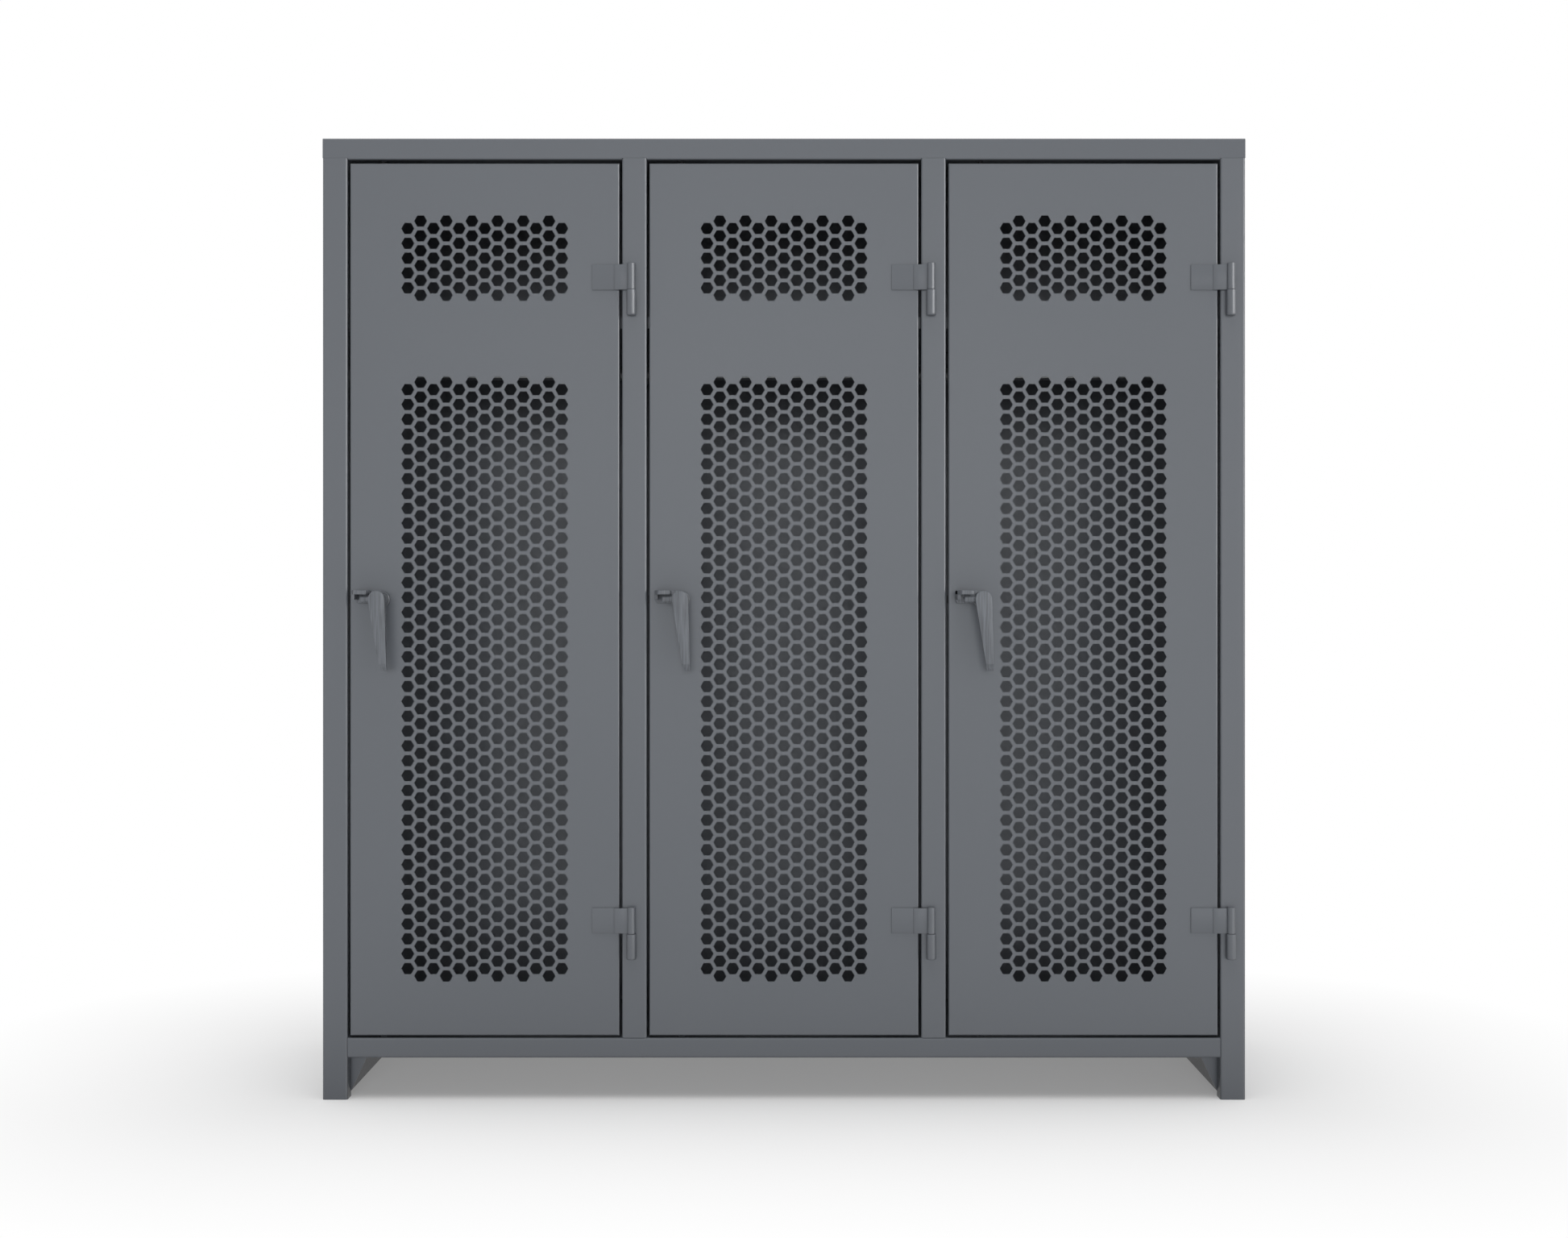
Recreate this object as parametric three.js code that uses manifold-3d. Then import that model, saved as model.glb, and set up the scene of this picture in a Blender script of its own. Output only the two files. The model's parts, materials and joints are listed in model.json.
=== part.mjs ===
// Ventilated steel locker: three full height doors side by side in one welded frame of folded sheet.
// Millimetres, +Z up, the front towards -Y. The origin is on the floor, under the middle of the whole
// part with its levers. Inside this file every piece is drawn from the plane of the door faces, y = 0.

import * as THREE from "three";
import { mergeVertices } from "three/addons/utils/BufferGeometryUtils.js";
import Module from "manifold-3d";

// Driving dimensions

// The whole cabinet
const WIDTH = 1828.8;
const HEIGHT = 1905;
const DEPTH = 609.6;
const BAY_NAMES = ["left", "middle", "right"];

// The sheet, its folds and the clearances between pieces
const SHEET = 2.66;
const BEND_RADIUS = 4;
const SEAM = 0.3;
const OVERRUN = 5;

// Frame
const POST_FACE = 49.3;
const REAR_POST_FACE = 43;
const MULLION_FACE = 48.9;
const MEMBER_DEPTH = 34;
const HEADER_HEIGHT = 41.8;
const SILL_HEIGHT = 39.7;
const FOOT_RETURN = 20;

// Underside
const GROUND_CLEARANCE = 82.9;
const SKIRT_LIFT = 10;
const GUSSET_REACH = 35.3;
const GUSSET_THICKNESS = 4.76;

// Doors
const SIDE_GAP = 5.1;
const TOP_GAP = 7.6;
const BOTTOM_GAP = 4.5;
const DOOR_RETURN = 25.4;

// Hexagonal perforation: two fields with a plain band between them
const HOLE_PITCH = 76.2;
const HOLE_FLATS = 57.5;
const FIELD_SIDE_MARGIN = 101.6;
const FIELD_TOP_MARGIN = 103.6;
const FIELD_BOTTOM_MARGIN = 107.1;
const UPPER_FIELD_HEIGHT = 169.3;
const BAND_HEIGHT = 150;

// Lift-off hinges
const HINGE_OFFSET = 24.35;
const BARREL_RADIUS = 9.5;
const BARREL_LENGTH = 51;
const BARREL_NOSE = 2.5;
const WELD_FOOT = 10;
const KNUCKLE_RADIUS = 8;
const KNUCKLE_LENGTH = 52.5;
const LEAF_REACH = 54;
const LEAF_THICKNESS = 3;
const LEAF_FLAT_END = 11;
const LEAF_TOP_DROP = 2.2;
const JOGGLE_STEP = 5;
const JOGGLE_RUN = 18;
const PIN_RADIUS = 4.75;
const PIN_PLAY = 0.35;
const PIN_DOWN = 30;
const PIN_UP = 36;
const UPPER_HINGE_DROP = 199.3;
const LOWER_HINGE_RISE = 255.7;

// Lever handle
const SPINDLE_INSET = 63.7;
const LEVER_STANDOFF = 63.5;
const HUB_RADIUS = 16;
const STEM_RADIUS = 13;
const LEVER_LENGTH = 140;
const LEVER_ROOT_THICKNESS = 15;
const LEVER_TIP_THICKNESS = 11;
const LEVER_TIP_WIDTH = 14;
const LEVER_TIP_OFFSET = 12.9;
const LEVER_CHAMFER = 1.6;
const TIP_BEVEL_LENGTH = 14;
const TIP_BEVEL_DEPTH = 7;
const SPINDLE_RADIUS = 8;
const SPINDLE_SQUARE = 11;
const SPINDLE_TAIL = 4;
const TURNING_PLAY = 0.5;

// Padlock ear on the lever, and the fixed hasp that it turns up against
const EAR_REACH = 36.4;
const EAR_SETBACK = 16;
const EAR_WIDTH = 23;
const EAR_TOP = 3.2;
const EAR_BOTTOM = 5.1;
const EAR_CORNER = 3.2;
const SHACKLE_RADIUS = 4.8;
const SHACKLE_INSET = 28;
const HASP_BASE = 10;
const HASP_LEFT = 50.1;
const HASP_FRONT_LEFT = 41.7;
const HASP_RIGHT = 19.5;
const HASP_CORNER_RUN = 13.5;
const HASP_WALL = 6;
const HASP_WALL_DROP = 1.2;
const HASP_TOP = 17.2;
const LEDGE_UNDERSIDE = 9;
const BASE_DROP = 7.6;
const BASE_CORNER = 5;
const BOSS_RADIUS = 18;

// Latch cam and lock rods inside the door
const CAM_SETBACK = 3.3;
const CAM_THICKNESS = 4;
const CAM_RADIUS = 36;
const TONGUE_WIDTH = 16;
const TONGUE_PROJECTION = 2.5;
const TONGUE_PLAY = 1.5;
const ROD_RADIUS = 4.75;
const ROD_PLAY = 0.4;
const ROD_CLEAR_OF_CAM = 1.25;
const ROD_TRAVEL = 14;
const STUD_ORBIT = 28;
const STUD_RADIUS = 3;
const STUD_PLAY = 0.5;
const TIP_SHORT_OF_FRAME = 1.5;
const KEEPER_PLAY = 2;
const GUIDE_OFFSET = 450;
const GUIDE_WIDTH = 22;
const GUIDE_LENGTH = 8;
const GUIDE_WALL = 3;

// Inside the bays
const HAT_HEIGHT = 304.8;
const SHELF_LIP = 25;
const SHELF_SETBACK = 6;
const COAT_ROD_RADIUS = 12.7;
const COAT_ROD_DROP = 60;
const ROD_CUP_RADIUS = 22;
const ROD_CUP_THICKNESS = 5;

// Facets of round forms
const ARC_STEPS = 3;
const JOGGLE_STEPS = 4;
const LEVER_ARC_STEPS = 10;
const SLOT_STEPS = 8;
const SLOT_END_STEPS = 3;
const TURNED_SIDES = 16;
const ROD_SIDES = 12;
const CAM_STEPS = 16;
const QUARTER_TURN = Math.PI / 2;

// Places worked out from the sizes

const halfWidth = WIDTH / 2;
const postInner = -halfWidth + POST_FACE;
const rearPostInner = -halfWidth + REAR_POST_FACE;
const openingTop = HEIGHT - HEADER_HEIGHT;
const lipTop = openingTop + SHEET;
const memberTop = lipTop - SEAM;
const underTop = HEIGHT - SHEET - SEAM;
const sillTop = GROUND_CLEARANCE + SILL_HEIGHT;
const trayTop = GROUND_CLEARANCE + SHEET;
const floorUnderside = trayTop + SEAM;
const floorTop = floorUnderside + SHEET;
const backInner = DEPTH - SHEET;
const foldInside = BEND_RADIUS - SHEET;

const doorCount = BAY_NAMES.length;
const faceWidth = WIDTH - POST_FACE * 2 - MULLION_FACE * (doorCount - 1);
const doorWidth = faceWidth / doorCount - SIDE_GAP * 2;
const bayPitch = doorWidth + SIDE_GAP * 2 + MULLION_FACE;
const doorBottom = sillTop + BOTTOM_GAP;
const doorHeight = openingTop - TOP_GAP - doorBottom;
const doorLefts = BAY_NAMES.map((_, bay) => postInner + SIDE_GAP + bay * bayPitch);
const mullionLefts = doorLefts.slice(1).map((left) => left - SIDE_GAP - MULLION_FACE);

const hingeX = doorWidth + HINGE_OFFSET;
const hingeY = -BARREL_RADIUS - SEAM;
const spindleZ = doorHeight / 2;
const camFront = SHEET + CAM_SETBACK;
const camBack = camFront + CAM_THICKNESS;
const rodY = camBack + ROD_CLEAR_OF_CAM + ROD_RADIUS;
const haspBack = -SEAM;
const haspFront = haspBack - HASP_BASE;
const stemBack = haspFront - SEAM;
const earFront = EAR_SETBACK - LEVER_STANDOFF;
const shackleY = earFront + EAR_WIDTH / 2;
const shelfTop = openingTop - HAT_HEIGHT;

// Solids from three.js geometries

const wasm = await Module();
wasm.setup();

const xAxis = new THREE.Vector3(1, 0, 0);
const yAxis = new THREE.Vector3(0, 1, 0);
const zAxis = new THREE.Vector3(0, 0, 1);

// A closed geometry as a solid that can be joined and cut.
function solidOf(geometry) {
  const bare = geometry.clone();
  bare.deleteAttribute("normal");
  bare.deleteAttribute("uv");
  const merged = mergeVertices(bare);
  const mesh = new wasm.Mesh({
    numProp: 3,
    vertProperties: merged.getAttribute("position").array,
    triVerts: new Uint32Array(merged.index.array),
  });
  return new wasm.Manifold(mesh);
}

// The surface of a finished solid.
function geometryOf(solid) {
  const mesh = solid.getMesh();
  const geometry = new THREE.BufferGeometry();
  geometry.setAttribute("position", new THREE.BufferAttribute(mesh.vertProperties, 3));
  geometry.setIndex(new THREE.BufferAttribute(mesh.triVerts, 1));
  geometry.computeVertexNormals();
  return geometry;
}

function joined(...solids) {
  return solids.reduce((whole, solid) => whole.add(solid));
}

function cut(solid, ...tools) {
  return tools.reduce((rest, tool) => rest.subtract(tool), solid);
}

// The points of an outline from its corners [u, v, radius]: a corner with a radius becomes an arc.
function rounded(corners, steps = ARC_STEPS) {
  const at = (index) => {
    const [u, v] = corners[(index + corners.length) % corners.length];
    return new THREE.Vector2(u, v);
  };
  const points = corners.map(([, , radius = 0], index) => {
    const corner = at(index);
    if (radius === 0) return [corner];
    const back = at(index - 1).sub(corner).normalize();
    const ahead = at(index + 1).sub(corner).normalize();
    const half = Math.acos(back.dot(ahead)) / 2;
    const inward = back.clone().add(ahead).normalize();
    const centre = corner.clone().addScaledVector(inward, radius / Math.sin(half));
    const start = corner.clone().addScaledVector(back, radius / Math.tan(half)).sub(centre);
    const end = corner.clone().addScaledVector(ahead, radius / Math.tan(half)).sub(centre);
    const sweep = Math.atan2(start.cross(end), start.dot(end));
    return arc(centre, radius, start.angle(), sweep, steps);
  });
  return points.flat();
}

// Points on an arc, its two ends included.
function arc(centre, radius, start, sweep, steps) {
  return Array.from({ length: steps + 1 }, (_, step) => {
    const angle = start + (sweep * step) / steps;
    return new THREE.Vector2(radius * Math.cos(angle), radius * Math.sin(angle)).add(centre);
  });
}

// An extrusion of an outline, or of several apart from each other, along one axis.
function extruded(outlines, basis, from, to, holes = []) {
  const shapes = outlines.map((points) => new THREE.Shape(points));
  shapes[0].holes = holes.map((points) => new THREE.Path(points));
  const geometry = new THREE.ExtrudeGeometry(shapes, { depth: to - from, bevelEnabled: false });
  geometry.translate(0, 0, from);
  geometry.applyMatrix4(basis);
  return solidOf(geometry);
}

// Outline in (y, z), from x0 to x1.
function alongX(points, x0, x1) {
  return extruded([points], new THREE.Matrix4().makeBasis(yAxis, zAxis, xAxis), x0, x1);
}

// Outlines in (x, z), from y0 back to y1.
function alongY(outlines, y0, y1, holes) {
  const towardsFront = yAxis.clone().negate();
  return extruded(outlines, new THREE.Matrix4().makeBasis(xAxis, zAxis, towardsFront), -y1, -y0, holes);
}

// Outline in (x, y), from z0 up to z1.
function alongZ(points, z0, z1) {
  return extruded([points], new THREE.Matrix4(), z0, z1);
}

// A box between two opposite corners.
function block([x0, y0, z0], [x1, y1, z1]) {
  const geometry = new THREE.BoxGeometry(x1 - x0, y1 - y0, z1 - z0);
  geometry.translate((x0 + x1) / 2, (y0 + y1) / 2, (z0 + z1) / 2);
  return solidOf(geometry);
}

// A round bar standing at (x, y), from z0 up to z1.
function uprightBar(x, y, z0, z1, radius, sides) {
  const geometry = new THREE.CylinderGeometry(radius, radius, z1 - z0, sides);
  geometry.rotateX(QUARTER_TURN);
  geometry.translate(x, y, (z0 + z1) / 2);
  return solidOf(geometry);
}

// A round bar lying front to back at (x, z), from y0 back to y1.
function levelBar(x, z, y0, y1, radius, sides) {
  const geometry = new THREE.CylinderGeometry(radius, radius, y1 - y0, sides);
  geometry.translate(x, (y0 + y1) / 2, z);
  return solidOf(geometry);
}

// Finishes

const greyPaint = new THREE.MeshStandardMaterial({ color: 0x5e6267, roughness: 0.42, metalness: 0 });
const handlePaint = new THREE.MeshStandardMaterial({ color: 0x5f6368, roughness: 0.38, metalness: 0 });
const zincSteel = new THREE.MeshStandardMaterial({ color: 0xa9adb0, roughness: 0.35, metalness: 1 });
const blackSteel = new THREE.MeshStandardMaterial({ color: 0x2b2c2d, roughness: 0.5, metalness: 1 });

function piece(name, solid, material) {
  const mesh = new THREE.Mesh(geometryOf(solid), material);
  mesh.name = name;
  return mesh;
}

// The right hand copy of a piece made on the left.
function mirrored(name, mesh) {
  const copy = mesh.clone();
  copy.name = name;
  copy.scale.x = -1;
  return copy;
}

// Folded sheet

// A channel seen from its end: a web along y = 0 and a return at each side.
function channel(left, width, depth) {
  const right = left + width;
  return rounded([
    [left, 0, BEND_RADIUS],
    [right, 0, BEND_RADIUS],
    [right, depth],
    [right - SHEET, depth],
    [right - SHEET, SHEET, foldInside],
    [left + SHEET, SHEET, foldInside],
    [left + SHEET, depth],
    [left, depth],
  ]);
}

// The same outline turned round to face the back of the cabinet.
function facingBack(points) {
  return points.map((point) => new THREE.Vector2(point.x, DEPTH - point.y));
}

// A channel with closed ends, open to the back, whose lower lip is cut away over each upright.
function makeTopRail() {
  const filled = rounded([
    [0, openingTop, BEND_RADIUS],
    [MEMBER_DEPTH, openingTop],
    [MEMBER_DEPTH, HEIGHT],
    [0, HEIGHT, BEND_RADIUS],
  ]);
  const hollow = rounded([
    [SHEET, lipTop, foldInside],
    [MEMBER_DEPTH + OVERRUN, lipTop],
    [MEMBER_DEPTH + OVERRUN, HEIGHT - SHEET],
    [SHEET, HEIGHT - SHEET, foldInside],
  ]);
  const shell = cut(
    alongX(filled, -halfWidth, halfWidth),
    alongX(hollow, -halfWidth + SHEET, halfWidth - SHEET),
  );
  const memberSpans = [
    [-halfWidth - OVERRUN, postInner + SEAM],
    ...mullionLefts.map((left) => [left - SEAM, left + MULLION_FACE + SEAM]),
    [-postInner - SEAM, halfWidth + OVERRUN],
  ];
  const notches = memberSpans.map(([x0, x1]) =>
    block([x0, -OVERRUN, openingTop - OVERRUN], [x1, MEMBER_DEPTH + OVERRUN, lipTop]),
  );
  return cut(shell, ...notches, ...keeperHoles(openingTop));
}

// The flat top lies on the sides, the back and the rear posts, behind the top rail.
function makeTopPanel() {
  return block([-halfWidth, MEMBER_DEPTH + SEAM, HEIGHT - SHEET], [halfWidth, DEPTH, HEIGHT]);
}

// The holes in the frame that the lock rods run up and down into.
function keeperHoles(z) {
  const radius = ROD_RADIUS + KEEPER_PLAY;
  return doorLefts.map((left) =>
    uprightBar(left + SPINDLE_INSET, rodY, z - OVERRUN, z + OVERRUN, radius, ROD_SIDES),
  );
}

function makeSill() {
  const profile = rounded([
    [0, GROUND_CLEARANCE, BEND_RADIUS],
    [FOOT_RETURN, GROUND_CLEARANCE],
    [FOOT_RETURN, trayTop],
    [SHEET, trayTop, foldInside],
    [SHEET, sillTop - SHEET, foldInside],
    [MEMBER_DEPTH, sillTop - SHEET],
    [MEMBER_DEPTH, sillTop],
    [0, sillTop, BEND_RADIUS],
  ]);
  const rail = alongX(profile, postInner + SEAM, -postInner - SEAM);
  return cut(rail, ...keeperHoles(sillTop));
}

function makeBackPanel() {
  return block(
    [rearPostInner + SEAM, backInner, GROUND_CLEARANCE],
    [-rearPostInner - SEAM, DEPTH, underTop],
  );
}

function makeSidePanel() {
  return block(
    [-halfWidth, MEMBER_DEPTH + SEAM, SKIRT_LIFT],
    [-halfWidth + SHEET, DEPTH - MEMBER_DEPTH - SEAM, underTop],
  );
}

// The floor lies on the foot return of the sill and on the base runners, cut away round the four posts.
function makeFloor() {
  const side = halfWidth - SHEET - SEAM;
  const inner = -postInner - SEAM;
  const rearInner = -rearPostInner - SEAM;
  const front = BEND_RADIUS + SEAM;
  const back = backInner - SEAM;
  const frontNotch = MEMBER_DEPTH + SEAM;
  const backNotch = DEPTH - frontNotch;
  const points = rounded([
    [-inner, front],
    [inner, front],
    [inner, frontNotch],
    [side, frontNotch],
    [side, backNotch],
    [rearInner, backNotch],
    [rearInner, back],
    [-rearInner, back],
    [-rearInner, backNotch],
    [-side, backNotch],
    [-side, frontNotch],
    [-inner, frontNotch],
  ]);
  return alongZ(points, floorUnderside, floorTop);
}

// A base runner ties the front and rear post together under the floor, with a gusset at each end.
function makeBaseRunner() {
  const outer = -halfWidth + SHEET + SEAM;
  const front = MEMBER_DEPTH + SEAM;
  const back = DEPTH - front;
  const profile = rounded([
    [postInner, SKIRT_LIFT],
    [postInner, trayTop, BEND_RADIUS],
    [outer, trayTop],
    [outer, GROUND_CLEARANCE],
    [postInner - SHEET, GROUND_CLEARANCE, foldInside],
    [postInner - SHEET, SKIRT_LIFT],
  ]);
  const gusset = (inner) =>
    rounded([
      [inner - SHEET / 2, SKIRT_LIFT],
      [postInner, SKIRT_LIFT],
      [postInner + GUSSET_REACH, trayTop],
      [inner - SHEET / 2, trayTop],
    ]);
  return joined(
    alongY([profile], front, back),
    alongY([gusset(postInner)], front, front + GUSSET_THICKNESS),
    alongY([gusset(rearPostInner)], back - GUSSET_THICKNESS, back),
  );
}

// A divider stands behind each mullion and reaches forward inside it, clear of header and sill.
function makeDivider(mullionLeft) {
  const centre = mullionLeft + MULLION_FACE / 2;
  const front = SHEET + SEAM;
  const behindMember = MEMBER_DEPTH + SEAM;
  const back = backInner - SEAM;
  const points = rounded([
    [behindMember, floorTop + SEAM],
    [back, floorTop + SEAM],
    [back, underTop],
    [behindMember, underTop],
    [behindMember, openingTop - SEAM],
    [front, openingTop - SEAM],
    [front, sillTop + SEAM],
    [behindMember, sillTop + SEAM],
  ]);
  return alongX(points, centre - SHEET / 2, centre + SHEET / 2);
}

function frameMeshes() {
  const frontPost = piece(
    "front_left_post",
    alongZ(channel(-halfWidth, POST_FACE, MEMBER_DEPTH), 0, memberTop),
    greyPaint,
  );
  const rearPost = piece(
    "rear_left_post",
    alongZ(facingBack(channel(-halfWidth, REAR_POST_FACE, MEMBER_DEPTH)), 0, underTop),
    greyPaint,
  );
  const side = piece("left_side_panel", makeSidePanel(), greyPaint);
  const runner = piece("left_base_runner", makeBaseRunner(), greyPaint);
  const mullions = mullionLefts.map((left, index) =>
    piece(
      BAY_NAMES[index] + "_mullion",
      alongZ(channel(left, MULLION_FACE, MEMBER_DEPTH), sillTop + SEAM, memberTop),
      greyPaint,
    ),
  );
  const dividers = mullionLefts.map((left, index) =>
    piece(BAY_NAMES[index] + "_divider", makeDivider(left), greyPaint),
  );
  return [
    piece("top_front_rail", makeTopRail(), greyPaint),
    piece("top_panel", makeTopPanel(), greyPaint),
    piece("bottom_front_rail", makeSill(), greyPaint),
    piece("back_panel", makeBackPanel(), greyPaint),
    piece("floor_panel", makeFloor(), greyPaint),
    frontPost,
    mirrored("front_right_post", frontPost),
    rearPost,
    mirrored("rear_right_post", rearPost),
    side,
    mirrored("right_side_panel", side),
    runner,
    mirrored("right_base_runner", runner),
    ...mullions,
    ...dividers,
  ];
}

// Shelf and coat rod of one bay

// The inner faces of the walls on each side of a bay.
function bayWalls(bay) {
  const walls = [
    -halfWidth + SHEET,
    ...mullionLefts.flatMap((left) => {
      const centre = left + MULLION_FACE / 2;
      return [centre - SHEET / 2, centre + SHEET / 2];
    }),
    halfWidth - SHEET,
  ];
  return [walls[bay * 2] + SEAM, walls[bay * 2 + 1] - SEAM];
}

// The space that a rear post takes, with its clearance; side is -1 on the left and 1 on the right.
function rearPostSpace(side) {
  const inner = -rearPostInner - SEAM;
  const [x0, x1] = [side * (halfWidth + OVERRUN), side * inner].sort((a, b) => a - b);
  return block([x0, DEPTH - MEMBER_DEPTH - SEAM, 0], [x1, DEPTH + OVERRUN, HEIGHT]);
}

function makeHatShelf(bay) {
  const front = MEMBER_DEPTH + SHELF_SETBACK;
  const back = backInner - SEAM;
  const lip = shelfTop - SHELF_LIP;
  const under = shelfTop - SHEET;
  const profile = rounded([
    [front, lip],
    [front + SHEET, lip],
    [front + SHEET, under, foldInside],
    [back - SHEET, under, foldInside],
    [back - SHEET, lip],
    [back, lip],
    [back, shelfTop, BEND_RADIUS],
    [front, shelfTop, BEND_RADIUS],
  ]);
  return cut(alongX(profile, ...bayWalls(bay)), rearPostSpace(-1), rearPostSpace(1));
}

// A bar with a cup against each wall.
function makeCoatRod(bay) {
  const [left, right] = bayWalls(bay);
  const profile = [
    [0, left],
    [ROD_CUP_RADIUS, left],
    [ROD_CUP_RADIUS, left + ROD_CUP_THICKNESS],
    [COAT_ROD_RADIUS, left + ROD_CUP_THICKNESS],
    [COAT_ROD_RADIUS, right - ROD_CUP_THICKNESS],
    [ROD_CUP_RADIUS, right - ROD_CUP_THICKNESS],
    [ROD_CUP_RADIUS, right],
    [0, right],
  ];
  const geometry = new THREE.LatheGeometry(
    profile.map(([radius, along]) => new THREE.Vector2(radius, along)),
    TURNED_SIDES,
  );
  geometry.rotateZ(-QUARTER_TURN);
  geometry.translate(0, DEPTH / 2, shelfTop - SHELF_LIP - COAT_ROD_DROP);
  return solidOf(geometry);
}

// Hinges, drawn in a door's own frame: its lower left corner at x = 0, z = 0

const hingeJointHeights = {
  upper: doorHeight - UPPER_HINGE_DROP - KNUCKLE_LENGTH,
  lower: LOWER_HINGE_RISE - KNUCKLE_LENGTH,
};

function hingeBore(z0, z1) {
  return uprightBar(hingeX, hingeY, z0, z1, PIN_RADIUS + PIN_PLAY, ROD_SIDES);
}

// The lower half, welded to the frame by a flat foot, with a rounded nose at the bottom.
function makeHingeBarrel(joint) {
  const top = joint - SEAM;
  const bottom = joint - BARREL_LENGTH;
  const profile = [
    [0, bottom],
    [BARREL_RADIUS - BARREL_NOSE, bottom],
    [BARREL_RADIUS, bottom + BARREL_NOSE],
    [BARREL_RADIUS, top],
    [0, top],
  ];
  const geometry = new THREE.LatheGeometry(
    profile.map(([radius, along]) => new THREE.Vector2(radius, along)),
    TURNED_SIDES,
  );
  geometry.rotateX(QUARTER_TURN);
  geometry.translate(hingeX, hingeY, 0);
  const foot = block(
    [hingeX - WELD_FOOT / 2, hingeY, bottom + BARREL_NOSE],
    [hingeX + WELD_FOOT / 2, -SEAM, top],
  );
  return cut(joined(solidOf(geometry), foot), hingeBore(joint - PIN_DOWN - SEAM, joint));
}

function makeHingePin(joint) {
  return uprightBar(hingeX, hingeY, joint - PIN_DOWN, joint + PIN_UP, PIN_RADIUS, ROD_SIDES);
}

// One side of the joggle: it rises from the door steeply at first, then runs level.
function joggleSide(low, run) {
  const level = doorWidth - LEAF_FLAT_END + JOGGLE_RUN;
  return Array.from({ length: JOGGLE_STEPS + 1 }, (_, step) => {
    const turn = (QUARTER_TURN * step) / JOGGLE_STEPS;
    return new THREE.Vector2(level - run * Math.cos(turn), low - JOGGLE_STEP * Math.sin(turn));
  });
}

// The upper half: a knuckle with a blind bore and a joggled leaf that lies on the door.
function makeHingeLeaf(joint) {
  const top = joint + KNUCKLE_LENGTH;
  const onDoor = -SEAM;
  const outer = onDoor - LEAF_THICKNESS;
  const leaf = [
    new THREE.Vector2(doorWidth - LEAF_REACH, onDoor),
    new THREE.Vector2(doorWidth - LEAF_REACH, outer),
    ...joggleSide(outer, JOGGLE_RUN),
    new THREE.Vector2(hingeX, outer - JOGGLE_STEP),
    new THREE.Vector2(hingeX, onDoor - JOGGLE_STEP),
    ...joggleSide(onDoor, JOGGLE_RUN - LEAF_THICKNESS).reverse(),
  ];
  const knuckle = uprightBar(hingeX, hingeY, joint, top, KNUCKLE_RADIUS, TURNED_SIDES);
  return cut(
    joined(alongZ(leaf, joint, top - LEAF_TOP_DROP), knuckle),
    hingeBore(joint - OVERRUN, joint + PIN_UP + SEAM),
  );
}

// Door panel

// One hexagonal hole with flats at top and bottom.
function hexagon(x, z) {
  return arc(new THREE.Vector2(x, z), HOLE_FLATS / Math.sqrt(3), 0, Math.PI * 2, 6).slice(0, -1);
}

// Staggered columns of holes, centred in a field, the outer columns one hole shorter than their neighbours.
function perforation(x0, z0, width, height) {
  const columnPitch = HOLE_PITCH * Math.cos(Math.PI / 6);
  const holeSpan = (HOLE_FLATS * 2) / Math.sqrt(3);
  const columnsEachSide = Math.floor((width - holeSpan) / columnPitch / 2);
  const tallCount = Math.floor((height - HOLE_FLATS) / HOLE_PITCH) + 1;
  const centreX = x0 + width / 2;
  const centreZ = z0 + height / 2;
  const holes = [];
  for (let column = -columnsEachSide; column <= columnsEachSide; column += 1) {
    const short = (column + columnsEachSide) % 2 === 0;
    const count = short ? tallCount - 1 : tallCount;
    for (let row = 0; row < count; row += 1) {
      const rise = row - (count - 1) / 2;
      holes.push(hexagon(centreX + column * columnPitch, centreZ + rise * HOLE_PITCH));
    }
  }
  return holes;
}

function doorPerforation() {
  const fieldWidth = doorWidth - FIELD_SIDE_MARGIN * 2;
  const upperBottom = doorHeight - FIELD_TOP_MARGIN - UPPER_FIELD_HEIGHT;
  const lowerHeight = upperBottom - BAND_HEIGHT - FIELD_BOTTOM_MARGIN;
  return [
    ...perforation(FIELD_SIDE_MARGIN, upperBottom, fieldWidth, UPPER_FIELD_HEIGHT),
    ...perforation(FIELD_SIDE_MARGIN, FIELD_BOTTOM_MARGIN, fieldWidth, lowerHeight),
  ];
}

// The slot in the left return that the cam's tongue swings down through.
function tongueSlot() {
  const cornerRadius = Math.hypot(SPINDLE_INSET + TONGUE_PROJECTION, TONGUE_WIDTH / 2);
  const drop = Math.sqrt(cornerRadius ** 2 - (SPINDLE_INSET - SHEET - SEAM) ** 2);
  return block(
    [-OVERRUN, camFront - TONGUE_PLAY, spindleZ - drop - TONGUE_PLAY],
    [SHEET + OVERRUN, camBack + TONGUE_PLAY, spindleZ + TONGUE_WIDTH / 2 + TONGUE_PLAY],
  );
}

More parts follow.
